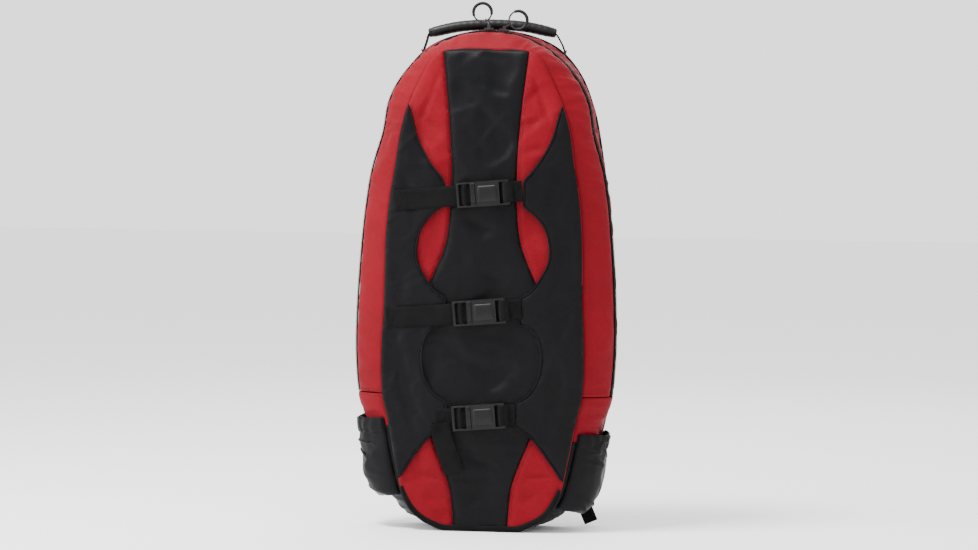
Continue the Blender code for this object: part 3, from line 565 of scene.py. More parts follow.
def woven_fabric(name, dark, light, roughness, sheen, thread=0.9 * MM):
    """Plain woven pack cloth: crossing threads, slubs, and slow shifts of tone; the threads' crests are
    painted lighter than the gaps between them, as painted shade matching their bump.
    """
    made, nodes, links, shader = new_material(name)
    flat = coordinates(nodes, links, "UV", (1, 1, 1))
    solid = coordinates(nodes, links, "Object", (1, 1, 1))
    warp = wave_texture(nodes, links, flat, 0.314 / thread, "X")
    weft = wave_texture(nodes, links, flat, 0.314 / thread, "Y")
    threads = calculate(nodes, links, "MAXIMUM", warp, weft)
    slubs = noise_texture(nodes, links, flat, 380, 3)
    tone = noise_texture(nodes, links, solid, 9, 5)
    grain = noise_texture(nodes, links, solid, 240, 2)
    # Painted shade between the threads: colour lighter on the threads' crests and darker where their
    # bump is low; tone and grain are random shifts of the cloth's own colour.
    tone_and_thread_shade = calculate(nodes, links, "MULTIPLY", threads, 0.28)
    tone_and_thread_shade = calculate(nodes, links, "ADD", tone_and_thread_shade, calculate(nodes, links, "MULTIPLY", tone, 0.50))
    tone_and_thread_shade = calculate(nodes, links, "ADD", tone_and_thread_shade, calculate(nodes, links, "MULTIPLY", grain, 0.26))
    colour = colour_ramp(nodes, links, tone_and_thread_shade, [(0.28, dark), (0.72, light)])
    links.new(colour, shader.inputs["Base Color"])
    height = calculate(nodes, links, "ADD", threads, slubs)
    add_bump(nodes, links, shader, height, 0.35, 0.25 * MM)
    shader.inputs["Roughness"].default_value = roughness
    shader.inputs["Sheen Weight"].default_value = sheen
    shader.inputs["Sheen Roughness"].default_value = 0.45
    shader.inputs["Specular IOR Level"].default_value = 0.08
    return made


def strap_fabric(name, dark, light):
    """Herringbone webbing: chevrons across its width and ribs along it, painted darker where the weave's
    bump is low, as painted shade in its grooves.
    """
    made, nodes, links, shader = new_material(name)
    flat = coordinates(nodes, links, "UV", (1, 1, 1))
    split = nodes.new("ShaderNodeSeparateXYZ")
    links.new(flat, split.inputs[0])
    across = calculate(nodes, links, "PINGPONG", split.outputs["Y"], 2.4 * MM)
    slanted = calculate(nodes, links, "ADD", split.outputs["X"], across)
    picks = calculate(nodes, links, "SINE", calculate(nodes, links, "MULTIPLY", slanted, 4200), 0)
    ribs = calculate(nodes, links, "MULTIPLY", split.outputs["Y"], 5200)
    ribs = calculate(nodes, links, "SINE", ribs, 0)
    solid = coordinates(nodes, links, "Object", (1, 1, 1))
    tone = noise_texture(nodes, links, solid, 30, 4)
    weave = calculate(nodes, links, "ADD", calculate(nodes, links, "MULTIPLY", picks, 0.5), ribs)
    # Painted shade in the weave: colour darker where the chevrons' and ribs' bump is low, over random
    # tone.
    tone_and_painted_shade = calculate(nodes, links, "ADD", calculate(nodes, links, "MULTIPLY", weave, 0.12), tone)
    links.new(colour_ramp(nodes, links, tone_and_painted_shade, [(0.3, dark), (0.7, light)]), shader.inputs["Base Color"])
    add_bump(nodes, links, shader, weave, 0.5, 0.25 * MM)
    shader.inputs["Roughness"].default_value = 0.72
    shader.inputs["Sheen Weight"].default_value = 0.04
    shader.inputs["Specular IOR Level"].default_value = 0.06
    return made


def moulded(name, dark, light, roughness, coarse=900, metallic=0.0):
    """Moulded plastic or painted metal with a fine texture and faint rub marks."""
    made, nodes, links, shader = new_material(name)
    solid = coordinates(nodes, links, "Object", (1, 1, 1))
    grain = noise_texture(nodes, links, solid, coarse, 4)
    rubs = noise_texture(nodes, links, solid, 60, 6, 0.7)
    colour = colour_ramp(nodes, links, rubs, [(0.35, dark), (0.75, light)])
    links.new(colour, shader.inputs["Base Color"])
    rough = calculate(nodes, links, "MULTIPLY", rubs, 0.25)
    rough = calculate(nodes, links, "ADD", rough, roughness - 0.12)
    links.new(rough, shader.inputs["Roughness"])
    add_bump(nodes, links, shader, grain, 0.25, 0.1 * MM)
    shader.inputs["Metallic"].default_value = metallic
    shader.inputs["Specular IOR Level"].default_value = 0.20
    return made


def spacer_mesh(name, dark, light):
    """Breathable knit with open cells, for the pads against the back; the cells are painted darker
    towards their middles, where the bump sinks, as painted shade in the open cells.
    """
    made, nodes, links, shader = new_material(name)
    flat = coordinates(nodes, links, "Object", (1, 1, 1))
    cells = nodes.new("ShaderNodeTexVoronoi")
    cells.inputs["Scale"].default_value = 420
    cells.inputs["Randomness"].default_value = 0.15
    links.new(flat, cells.inputs["Vector"])
    tone = noise_texture(nodes, links, flat, 14, 4)
    # Painted shade in the open cells: colour darker towards each cell's middle, where the bump sinks,
    # over random tone.
    tone_and_painted_shade = calculate(nodes, links, "MULTIPLY", cells.outputs["Distance"], 0.8)
    tone_and_painted_shade = calculate(nodes, links, "ADD", tone_and_painted_shade, tone)
    links.new(colour_ramp(nodes, links, tone_and_painted_shade, [(0.4, dark), (1.0, light)]), shader.inputs["Base Color"])
    add_bump(nodes, links, shader, cells.outputs["Distance"], 0.6, 0.6 * MM)
    shader.inputs["Roughness"].default_value = 0.9
    shader.inputs["Sheen Weight"].default_value = 0.03
    shader.inputs["Specular IOR Level"].default_value = 0.12
    return made


def make_materials():
    looks = {
        "red_fabric": (woven_fabric, (0.085, 0.0005, 0.0034), (0.165, 0.0012, 0.0070), 0.60, 0.02),
        "black_fabric": (woven_fabric, (0.0008, 0.0008, 0.0010), (0.0034, 0.0034, 0.0042), 0.40, 0.02),
        "webbing": (strap_fabric, (0.0010, 0.0010, 0.0011), (0.0040, 0.0040, 0.0042)),
        "zip_coil": (moulded, (0.006, 0.0058, 0.006), (0.014, 0.0136, 0.014), 0.50),
        "buckle_plastic": (moulded, (0.0015, 0.0015, 0.0015), (0.0045, 0.0044, 0.0044), 0.40),
        "slider_metal": (moulded, (0.018, 0.0175, 0.018), (0.040, 0.039, 0.040), 0.40, 1400, 0.5),
        "grip_plastic": (moulded, (0.0012, 0.0012, 0.0012), (0.0035, 0.0034, 0.0034), 0.46, 500),
        "foam_mesh": (spacer_mesh, (0.0012, 0.0012, 0.0014), (0.0060, 0.0060, 0.0066)),
        "stiffener": (moulded, (0.04, 0.04, 0.04), (0.07, 0.07, 0.07), 0.6),
    }
    return {name: make(name, *look) for name, (make, *look) in looks.items()}


# ---------------------------------------------------------------- front panels and wings


def front_relief(x, z):
    """How far the stuffed front fabric stands out or in, from its wrinkles and soft folds."""
    relief = 7.0 * MM * soft_noise(x, z, 45 * MM, 60 * MM, 1.0)
    relief += 3.0 * MM * creases(x, z, 38, 80 * MM, 34 * MM, 3.0) * bump(x, z, (0, 610), 120)
    relief += 2.6 * MM * creases(x, z, -16, 80 * MM, 26 * MM, 5.0) * bump(x, z, (0, 70), 90)
    relief += 2.0 * MM * creases(x, z, 12, 70 * MM, 24 * MM, 9.0) * bump(x, z, (0, 300), 130)
    relief += 1.6 * MM * soft_noise(x, z, 20 * MM, 32 * MM, 7.0)
    for centre, amount in (((-72, 640), 2.5), ((76, 640), 2.5), ((0, 78), -2.0)):
        relief += amount * MM * bump(x, z, centre, 30)
    crease_line = np.exp(-(((z - 77 * MM - 0.05 * x) / (3 * MM)) ** 2))
    return relief - 1.6 * MM * crease_line + folds(x, z, FRONT_FOLDS)


def panel_y(x, z):
    return front_y(x, z) - 0.6 * MM - np.clip(front_relief(x, z), -6.0 * MM, 1.4 * MM) * 0.8


def wing_relief(x, z):
    """Folds of the padded wings."""
    relief = 5.5 * MM * soft_noise(x, z, 36 * MM, 50 * MM, 11.0)
    relief += 3.6 * MM * creases(x, z, 75, 80 * MM, 30 * MM, 13.0) * bump(x, z, (-100, 250), 90)
    relief += 3.6 * MM * creases(x, z, 100, 80 * MM, 30 * MM, 17.0) * bump(x, z, (110, 250), 90)
    relief += 2.0 * MM * creases(x, z, 20, 60 * MM, 22 * MM, 19.0)
    relief += folds(x, z, WING_FOLDS)
    return relief + 0.5 * MM * soft_noise(x, z, 12 * MM, 16 * MM, 23.0)


def wing_y(x, z):
    relief = np.clip(wing_relief(x, z), -2.4 * MM, 2.4 * MM) * 0.62
    return front_y(x, z) - 0.3 * MM - WING - 0.4 * MM - relief


def rim_points(first_z, last_z, count):
    heights = np.linspace(first_z, last_z, count)
    return np.stack([half_width(heights), heights], axis=1)


def panel_outlines():
    top = on_loop(RIM, np.linspace(0, 1.6, 9))
    corner_of_top = on_loop(RIM, np.linspace(1.6, 3, 14))
    stripe = smooth([top[-1], *(np.array(STRIPE_EDGE) * MM)], 6)
    corner = smooth(np.array(CORNER_EDGE) * MM, 6)
    middle = rim_points(LOWEST_FLANK_Z, CORNER_TOP_Z, 20)
    flank_side = rim_points(651 * MM, LOWEST_FLANK_Z, 30)
    corner_side = rim_points(CORNER_TOP_Z, 4 * MM, 22)
    foot = np.array([on_loop(RIM, BOTTOM_STATION - 1), (corner[-1][0], 0)])
    right = np.vstack([top, stripe[1:], middle, corner])
    centre = np.vstack([right, mirrored(right)[:-1]])
    flank = np.vstack([corner_of_top, flank_side[1:], stripe[::-1][:-1]])
    low = np.vstack([corner_side, foot, corner[::-1][1:]])
    return centre, flank, low, stripe, corner


def on_front(line, height=panel_y, lift=0.25 * MM):
    """3D line and its outward normals over a front surface."""
    line = np.asarray(line)
    y = height(line[:, 0], line[:, 1]) - lift
    return np.stack([line[:, 0], y, line[:, 1]], axis=1), np.array([0.0, -1.0, 0.0])


def offset_line(line, distance):
    """Polyline moved sideways, to its left for a positive distance."""
    along = np.gradient(line, axis=0)
    along /= np.maximum(np.linalg.norm(along, axis=1, keepdims=True), 1e-9)
    return line + np.stack([-along[:, 1], along[:, 0]], axis=1) * distance


def make_front():
    centre, flank, low, stripe, corner = panel_outlines()
    pieces = [("front_panel_centre", centre, "black_fabric")]
    for side, mirror in (("left", mirrored), ("right", np.array)):
        pieces.append((f"front_flank_{side}", mirror(flank), "red_fabric"))
        pieces.append((f"front_corner_{side}", mirror(low), "red_fabric"))
    for name, outline, slot in pieces:
        item, _ = sewn_panel(f"fabric_{name}", outline, panel_y, 4.5 * MM, SEAM_SINK, SEAM_REACH)
        thick(item, 2.4 * MM)
        finish_piece(item, slot, "bag", name)
    for side, mirror in (("left", mirrored), ("right", np.array)):
        for word, line in (("stripe", stripe), ("corner", corner)):
            for index, distance in enumerate((2.2 * MM, 4.4 * MM)):
                row = offset_line(mirror(line), distance)
                points, normal = on_front(row[2:-2])
                points[:, 1] += SEAM_SINK * math.exp(-((distance / SEAM_REACH) ** 2))
                stitches(f"topstitch_{word}_{side}_{index}", points, normal, "bag")


def wing_outline():
    edge = []
    for stretch in WING_EDGE:
        steps = 1 if len(stretch) == 2 else 8
        edge.append(smooth(np.array(stretch) * MM, steps)[:-1])
    edge = np.vstack(edge)
    outer = rim_points(WING_EDGE[-1][-1][1] * MM, WING_EDGE[0][0][1] * MM, 60)
    outer[:, 0] -= 0.6 * MM
    return np.vstack([edge, outer]), edge


def make_wings():
    outline, edge = wing_outline()
    for side, mirror in (("left", mirrored), ("right", np.array)):
        item, _ = sewn_panel(f"fabric_wing_{side}", mirror(outline), wing_y, 4 * MM, 1.0 * MM, 2.6 * MM)
        thick(item, 2.6 * MM)
        finish_piece(item, "black_fabric", "bag", f"wing_{side}")
        hem = mirror(edge)
        for index, inset in enumerate((3.2 * MM, 6.4 * MM)):
            row = offset_line(resampled(hem, 3 * MM), -inset)
            points, normal = on_front(row[3:-3], wing_y)
            stitches(f"wing_topstitch_{side}_{index}", points, normal, "bag")
        binding = resampled(hem, 4 * MM)
        points, _ = on_front(binding, lambda x, z: wing_y(x, z) + 1.2 * MM)
        piping = round_tube(f"wing_binding_{side}", points, 1.5 * MM, 8)
        finish_piece(piping, "webbing", "bag")


# ---------------------------------------------------------------- side wall, zip and pockets


def wall_relief(points, stations, y):
    """Puckers and folds of the side wall, out along its normal."""
    x, z = points[..., 0], points[..., 2]
    run = stations * STATION_LENGTH
    relief = 2.2 * MM * soft_noise(run, y, 60 * MM, 50 * MM, 31.0)
    relief += 3.4 * MM * creases(run, y, 70, 60 * MM, 20 * MM, 33.0)
    relief += 0.8 * MM * soft_noise(run, y, 22 * MM, 25 * MM, 37.0)
    strong = bump(np.abs(x), z, (90, 690), 45)
    strong += bump(np.abs(x), z, (150, 585), 35)
    strong += bump(np.abs(x), z, (175, 210), 40)
    relief += 2.6 * MM * strong * creases(run, y, 95, 40 * MM, 9 * MM, 41.0)
    return relief


def wall_grid(first, last, rows, low_y, high_y, columns):
    """Stations along the side wall and depths across it, as two grids."""
    run, across = np.linspace(first, last, rows), np.linspace(low_y, high_y, columns)
    return np.meshgrid(run, across, indexing="ij")


def wall_band(name, slot, first, last, low_y, high_y, columns=12):
    """Fabric strip of the side wall, sinking into the seams along its two edges."""
    rows = int(abs(last - first) / WALL_STEP) + 1
    stations, y = wall_grid(first, last, rows, low_y, high_y, columns)
    base = wall(stations, y)
    edge = np.minimum(y - low_y, high_y - y)
    hold = 1 - np.exp(-((edge / (7 * MM)) ** 2))
    sink = WALL_TUCK * np.exp(-((edge / (3 * MM)) ** 2))
    above_floor = np.clip(base[..., 2] / (25 * MM), 0, 1)
    relief = np.clip(wall_relief(base, stations, y), -2.5 * MM, 3 * MM) * hold * above_floor
    points = wall(stations, y, relief - sink)
    run = np.concatenate([[0], np.cumsum(np.linalg.norm(np.diff(points[:, 0], axis=0), axis=1))])
    uvs = np.stack([np.broadcast_to(run[:, None], y.shape), y], axis=-1)
    return wall_sheet(f"fabric_{name}", points, uvs, 2.2 * MM, slot, name)


def wall_sheet(name, points, uvs, thickness, slot, *nodes):
    """Fabric from a grid of points on the side wall, facing away from the bag."""
    rows, columns = points.shape[:2]
    item = mesh_object(name, points.reshape(-1, 3), grid_faces(rows, columns), uvs.reshape(-1, 2))
    repair_outward(item)
    thick(item, thickness)
    return finish_piece(item, slot, "bag", *nodes)


def repair_outward(item):
    """Turns an open strip's faces away from the bag's middle."""
    shape = bmesh.new()
    shape.from_mesh(item.data)
    for face in shape.faces:
        middle = face.calc_center_median()
        away = Vector((middle.x, 0, middle.z - 0.36))
        if face.normal.dot(away) < 0:
            face.normal_flip()
    shape.to_mesh(item.data)
    shape.free()


def make_side_wall():
    seam, lowest = SEAM_STATION, 2 * BOTTOM_STATION - SEAM_STATION
    front_high = ZIP_Y - ZIP_HALF_WIDTH - 0.3 * MM
    rear_low = ZIP_Y + ZIP_HALF_WIDTH + 0.3 * MM
    wall_band("gusset_front", "red_fabric", -seam, seam, RIM_Y, front_high)
    wall_band("gusset_rear", "red_fabric", -seam, seam, rear_low, SEAM_Y)
    right_mouth = POCKET_STATIONS["right"][0] + SIDE_BELOW_MOUTH
    left_mouth = 2 * BOTTOM_STATION - POCKET_STATIONS["left"][0] - SIDE_BELOW_MOUTH
    stretches = (
        ("gusset_side_right", "red_fabric", seam + 0.03, right_mouth),
        ("gusset_lower", "black_fabric", right_mouth + 0.03, left_mouth - 0.03),
        ("gusset_side_left", "red_fabric", left_mouth, lowest - 0.03),
    )
    for name, slot, first, last in stretches:
        wall_band(name, slot, first, last, RIM_Y, SEAM_Y, 20)
    for side, sign in (("left", -1), ("right", 1)):
        for index, shift in enumerate((0.09, -0.09)):
            depth = np.linspace(RIM_Y + 3 * MM, SEAM_Y - 3 * MM, 30)
            line = wall(np.full(30, sign * (seam + shift)), depth, 1.3 * MM)
            stitches(f"seam_stitch_{side}_{index}", line, np.array([sign, 0.0, 0.0]), "bag")


def make_zip():
    seam = SEAM_STATION
    for word, low, high in (("front", -5.6, -0.05), ("rear", 0.05, 5.6)):
        stations, y = wall_grid(-seam, seam, 320, ZIP_Y + low * MM, ZIP_Y + high * MM, 4)
        points = wall(stations, y, 0.9 * MM)
        run = np.arange(320) * 4 * MM
        uvs = np.stack([np.broadcast_to(run[:, None], y.shape), y], axis=-1)
        wall_sheet(f"zip_tape_{word}", points, uvs, 0.9 * MM, "webbing")
    make_coil()
    for word, shift in (("front", -7.4), ("rear", 7.4)):
        stations = np.linspace(-seam + 0.1, seam - 0.1, 500)
        line = wall(stations, np.full(500, ZIP_Y + shift * MM), 1.4 * MM)
        outward = line - np.array([0, 0, 0.36])
        outward[:, 1] = 0
        outward /= np.linalg.norm(outward, axis=1, keepdims=True)
        stitches(f"zip_stitch_{word}", line, outward, "bag")


def make_coil():
    """Closed coil: small rounded teeth along the whole zip, from the two sides in turn."""
    stations = np.linspace(-SEAM_STATION, SEAM_STATION, 1500)
    line = wall(stations, np.full(1500, ZIP_Y), 1.2 * MM)
    line = resampled(line, 1.7 * MM)
    along = np.gradient(line, axis=0)
    along /= np.linalg.norm(along, axis=1, keepdims=True)
    across = np.array([0.0, 1.0, 0.0])
    points, faces = [], []
    for index, (centre, way) in enumerate(zip(line, along)):
        up = np.cross(across, way)
        up = up if up @ (centre - np.array([0, ZIP_Y, 0.36])) > 0 else -up
        shift = 0.7 * MM * (1 if index % 2 else -1)
        base = len(points)
        for a, b in ((-1, -1), (1, -1), (1, 1), (-1, 1)):
            foot = centre + way * a * 0.62 * MM + across * (b * 1.9 * MM + shift)
            points += [foot, centre + (foot - centre) * 0.6 + up * 1.3 * MM]
        for k in range(4):
            here, there = base + 2 * k, base + 2 * ((k + 1) % 4)
            faces.append((here, there, there + 1, here + 1))
        faces.append(tuple(base + 2 * k + 1 for k in range(4)))
        faces.append(tuple(base + 2 * k for k in reversed(range(4))))
    item = mesh_object("zip_teeth", points, faces)
    repair_normals(item)
    finish_piece(item, "zip_coil", "bag", "zip_chain")


def pocket_out(side, stations, y):
    across = np.sin(math.pi * np.clip((y - POCKET_FRONT_Y) / (POCKET_BACK_Y - POCKET_FRONT_Y), 0, 1))
    top, bottom = POCKET_STATIONS[side]
    down = np.clip((np.abs(stations) - top) / (bottom - top), 0, 1)
    return (POCKET_BULGE[0] + POCKET_BULGE[1] * down) * across**0.4 * np.sqrt(1 - down**9)


def make_pockets():
    for side, sign in (("left", -1), ("right", 1)):
        top, bottom = POCKET_STATIONS[side]
        stations, y = wall_grid(sign * top, sign * bottom, 60, POCKET_FRONT_Y, POCKET_BACK_Y, 70)
        depth = (np.abs(stations) - top) / (bottom - top)
        gathers = np.sin(y / (2.1 * MM) + 2 * soft_noise(stations, y, 0.6, 30 * MM, 51.0))
        relief = 0.9 * MM * gathers * np.exp(-depth / 0.30) * (depth > 0.02)
        relief += 3.0 * MM * creases(stations * STATION_LENGTH, y, 64, 60 * MM, 20 * MM, 53.0 + sign)
        relief += 5.0 * MM * soft_noise(stations * STATION_LENGTH, y, 34 * MM, 34 * MM, 55.0 + sign)
        edge = np.minimum(y - POCKET_FRONT_Y, POCKET_BACK_Y - y)
        hold = 1 - np.exp(-((edge / (9 * MM)) ** 2))
        points = wall(stations, y, 2.2 * MM + pocket_out(side, stations, y) + relief * hold)
        uvs = np.stack([stations * STATION_LENGTH, y], axis=-1)
        wall_sheet(f"fabric_pocket_{side}", points, uvs, 1.2 * MM, "black_fabric", f"side_pocket_{side}")
        first, last = sign * (top - 0.06), sign * (top + 0.62)
        hem, y = wall_grid(first, last, 9, POCKET_FRONT_Y, POCKET_BACK_Y, 90)
        ruffle = 0.8 * MM * np.sin(y / (1.5 * MM) + 2 * soft_noise(hem, y, 0.5, 20 * MM, 57.0))
        crown = np.sin(math.pi * (np.abs(hem) - top + 0.06) / 0.68)
        points = wall(hem, y, 3.6 * MM + pocket_out(side, hem, y) + ruffle + 1.2 * MM * crown)
        uvs = np.stack([hem * STATION_LENGTH, y], axis=-1)
        node = f"pocket_elastic_{side}"
        wall_sheet(f"elastic_hem_{side}", points, uvs, 1.4 * MM, "black_fabric", node)


# ---------------------------------------------------------------- straps and buckles


def strap_line(strap, start, end, lift, spacing=4 * MM):
    """3D centreline of a strap between two distances from the buckle's centre, in front of the wings."""
    run = np.arange(start, end + spacing / 2, spacing)
    x = strap["x"] * MM + run * math.cos(STRAP_TILT)
    z = strap["z"] * MM + run * math.sin(STRAP_TILT)
    return np.stack([x, front_y(x, z) - lift, z], axis=1)


def box_stitch(name, strap, start, end):
    """Stitched patch that holds a strap's end: a rectangle with one diagonal."""
    half = STRAP_WIDTH / 2 - 3 * MM
    corners = [(start, -half), (end, -half), (end, half), (start, half), (start, -half), (end, half)]
    across = np.array([-math.sin(STRAP_TILT), math.cos(STRAP_TILT)])
    flat = []
    for run, side in corners:
        x = strap["x"] * MM + run * math.cos(STRAP_TILT) + across[0] * side
        z = strap["z"] * MM + run * math.sin(STRAP_TILT) + across[1] * side
        flat.append((x, z))
    line = resampled(np.array(flat), 2 * MM)
    y = front_y(line[:, 0], line[:, 1]) - STRAP_OFFSET - 1.1 * MM
    points = np.stack([line[:, 0], y, line[:, 1]], axis=1)
    stitches(name, points, (0.0, -1.0, 0.0), "bag", 2.6 * MM)


def make_straps():
    across = (-math.sin(STRAP_TILT), 0, math.cos(STRAP_TILT))
    for number, strap in enumerate(STRAPS, 1):
        start = (strap["left"] - strap["x"]) * MM
        end = (strap["right"] - strap["x"]) * MM
        left = strap_line(strap, start, -20 * MM, STRAP_OFFSET)
        right = strap_line(strap, 24 * MM, end, STRAP_OFFSET)
        webbing(f"webbing_left_{number}", left, across, STRAP_WIDTH, nodes=[f"strap_left_{number}"])
        webbing(f"webbing_right_{number}", right, across, STRAP_WIDTH, nodes=[f"strap_right_{number}"])
        box_stitch(f"box_stitch_left_{number}", strap, start + 3 * MM, start + 18 * MM)
        box_stitch(f"box_stitch_right_{number}", strap, end - 17 * MM, end - 3 * MM)
        make_ladder_turns(number, strap, across)
    tail = [(-58, 156, 9.5), (-54, 136, 9), (-48, 116, 8.2), (-41, 98, 7.4), (-36, 84, 7)]
    path = []
    for x, z, rise in tail:
        path.append((x * MM, float(front_y(x * MM, z * MM)) - rise * MM, z * MM))
    webbing("loose_tail", path, (1, 0, 0.27), 28 * MM, body="male_3", nodes=["strap_tail_3"])


def make_ladder_turns(number, strap, across):
    """Webbing threaded over the plug's bar, and folded round the socket's end bar."""
    base = strap_line(strap, -36 * MM, -14 * MM, 0, 1 * MM)
    run = np.linspace(-36, -14, len(base))
    height = 8.0 + 4.2 * np.exp(-(((run + 26.3) / 3.6) ** 2))
    path = base - np.array([0, 1, 0]) * height[:, None] * MM
    size = (29.4 * MM, 1.5 * MM)
    webbing(f"webbing_turn_left_{number}", path, across, *size, f"male_{number}", spacing=0.8 * MM)
    base = strap_line(strap, 25.5 * MM, 44 * MM, 0, 1 * MM)
    run = np.linspace(25.5, 44, len(base))
    height = 7.2 + 6.9 * np.exp(-(((run - 34.5) / 5.5) ** 4))
    path = base - np.array([0, 1, 0]) * height[:, None] * MM
    webbing(f"webbing_turn_right_{number}", path, across, *size, "bag", spacing=0.8 * MM)


def strap_frame(strap):
    """Matrix of a buckle's own frame: x along the strap, y up, z towards the front."""
    x, z = strap["x"] * MM, strap["z"] * MM
    origin = Vector((x, float(front_y(x, z)), z))
    standing = Matrix.Rotation(math.pi / 2, 4, "X")
    return Matrix.Translation(origin) @ Matrix.Rotation(-STRAP_TILT, 4, "Y") @ standing


def moulding(name, matrix, centre, size, corner, body, crown=0.0):
    """Rounded bar or pad of a buckle, crowned along its front. Its measures are in mm."""
    centre, size = Vector(centre) * MM, Vector(size) * MM
    shape = bmesh.new()
    bmesh.ops.create_grid(shape, x_segments=16, y_segments=16, size=0.5)
    for vertex in shape.verts:
        u, v = vertex.co.x * 2, vertex.co.y * 2
        fall = max(0.0, 1 - max(abs(u), abs(v)) ** 6) ** 0.5
        vertex.co = Vector((u * size[0] / 2, v * size[1] / 2, fall * size[2] + crown * MM * (1 - v * v)))
    low = bmesh.ops.extrude_face_region(shape, geom=shape.faces[:])
    for vertex in [v for v in low["geom"] if isinstance(v, bmesh.types.BMVert)]:
        vertex.co.z = -0.6 * MM
    bmesh.ops.recalc_face_normals(shape, faces=shape.faces)
    data = bpy.data.meshes.new(name)
    shape.to_mesh(data)
    shape.free()
    data.shade_smooth()
    item = bpy.data.objects.new(name, data)
    bpy.context.scene.collection.objects.link(item)
    item.matrix_world = matrix @ Matrix.Translation(centre)
    bevel(item, corner * MM, 2)
    return finish_piece(item, "buckle_plastic", body)


def bevel(item, width, segments=3):
    step = item.modifiers.new("rounded", "BEVEL")
    step.width = width
    step.segments = segments
    step.limit_method = "ANGLE"
    step.angle_limit = math.radians(40)
    step.harden_normals = True


def make_buckles():
    for number, strap in enumerate(STRAPS, 1):
        placing = strap_frame(strap)
        for name in (f"buckle_female_{number}", f"buckle_male_{number}"):
            dress(name, "buckle_plastic", 1.1 * MM)
        for word in ("upper", "lower"):
            dress(f"release_prong_{word}_{number}", "buckle_plastic", 0.7 * MM)
        male = f"male_{number}"
        for word, centre, size, rounding, crown, on_plug in BUCKLE_MOULDINGS:
            body = male if on_plug else "bag"
            moulding(f"buckle_{word}_{number}", placing, centre, size, rounding, body, crown)
        for side in (-1, 1):
            (x, y, z), size, rounding = BUCKLE_RAIL
            moulding(f"buckle_rail_{number}_{side + 1}", placing, (x, side * y, z), size, rounding, male)
            (x, y, z), size, rounding = BUCKLE_RIB
            for rib in range(3):
                centre = (x + RIB_PITCH * rib, side * y, z)
                moulding(f"buckle_rib_{number}_{side + 1}_{rib}", placing, centre, size, rounding, male)


def dress(node, slot, rounding):
    """Keeps a CAD node, with rounded edges and the slot's material."""
    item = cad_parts[node]
    item.data.materials.clear()
    item.data.materials.append(MATERIALS[slot])
    bevel(item, rounding)


# ---------------------------------------------------------------- zip pulls and handle


def make_pulls():
    for side in ("left", "right"):
        for node, rounding in ((f"zip_slider_{side}", 1.2), (f"pull_tab_{side}", 0.5)):
            dress(node, "slider_metal", rounding * MM)
        low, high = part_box(f"pull_ring_{side}")
        centre = (np.array(low) + np.array(high)) / 2
        turn = np.linspace(0, 2 * math.pi, 96, endpoint=False)
        radius = (high[0] - low[0]) / 2 - 1.2 * MM
        path = centre + radius * np.stack([np.sin(turn), 0 * turn, np.cos(turn)], axis=1)
        wire = round_tube(f"ring_wire_{side}", path, 1.2 * MM, 14, closed=True)
        finish_piece(wire, "slider_metal", f"ring_{side}", f"pull_ring_{side}")
        make_grip(side, centre, radius)


def make_grip(side, centre, radius):
    """Moulded sleeve over most of the ring, with a groove at each end and fine ribs."""
    lean = {"left": -26, "right": 62}[side]
    middle, half = math.radians(lean + 20), math.radians(107)
    turn = np.linspace(middle - half, middle + half, 120)
    path = centre + radius * np.stack([np.sin(turn), 0 * turn, np.cos(turn)], axis=1)
    part = np.linspace(-1, 1, 120)
    thickness = 2.35 - 0.35 * np.abs(part) ** 8 - 0.25 * (np.abs(np.abs(part) - 0.86) < 0.03)
    thickness += 0.10 * np.cos(part * 70)
    item = round_tube(f"grip_sleeve_{side}", path, thickness * MM, 16)
    finish_piece(item, "grip_plastic", f"ring_{side}", f"ring_grip_{side}")


def make_handle():
    flat = smooth(np.array(HANDLE_PATH) * MM, 30)
    path = np.stack([flat[:, 0], np.full(len(flat), HANDLE_Y), flat[:, 1]], axis=1)
    part = np.linspace(-1, 1, len(path))
    radius = 8 * MM * (1 - 0.22 * np.abs(part) ** 14) + 0.12 * MM * np.sin(part * 60)
    item = round_tube("grab_tube", path, radius, 24)
    finish_piece(item, "grip_plastic", "handle", "handle_sleeve")
    x, y, z = HANDLE_ANCHOR
    for word, sign in (("left", 1), ("right", -1)):
        sewn = [
            (-sign * (x + 5 * MM), y - 5 * MM, z - 16 * MM),
            (-sign * x, y - 4 * MM, z - 4 * MM),
            (-sign * x, y, z),
        ]
        webbing(f"handle_patch_{word}", sewn, (0, 1, 0.2), 14 * MM, 2 * MM)
        end, inner = (path[0], path[8]) if sign > 0 else (path[-1], path[-9])
        rise = (-sign * (x - 5 * MM), y - 2 * MM, z + 14 * MM)
        leg = [(-sign * x, y, z), rise, tuple(end), tuple(inner)]
        nodes = ["handle_webbing"] if word == "left" else []
        webbing(f"handle_leg_{word}", leg, (0, 1, 0), 13 * MM, 2 * MM, "handle", nodes)
        end = path[1] if sign > 0 else path[-2]
        way = Vector(path[0] - path[3] if sign > 0 else path[-1] - path[-4]).normalized()
        cuff = np.array([np.array(end) + np.array(way) * d * MM for d in (-1.0, 0.0, 1.5, 3.0)])
        collar = round_tube(f"handle_cuff_{word}", cuff, np.array([6.6, 7.0, 6.6, 5.6]) * MM, 20)
        finish_piece(collar, "grip_plastic", "handle")


# ---------------------------------------------------------------- back and harness


def back_outline(scale_x=1.0, scale_z=1.0):
    right = on_loop(SEAM, np.linspace(0, BOTTOM_STATION, 120))
    whole = np.vstack([right, mirrored(right)[1:-1]])
    middle = np.array([0, 0.36])
    return (whole - middle) * (scale_x, scale_z) + middle


def face_back(item):
    face_front(item)
    item.data.flip_normals()


def back_y(x, z):
    return SEAM_Y + PANEL + 0.8 * MM * soft_noise(x, z, 0.06, 0.08, 61.0)


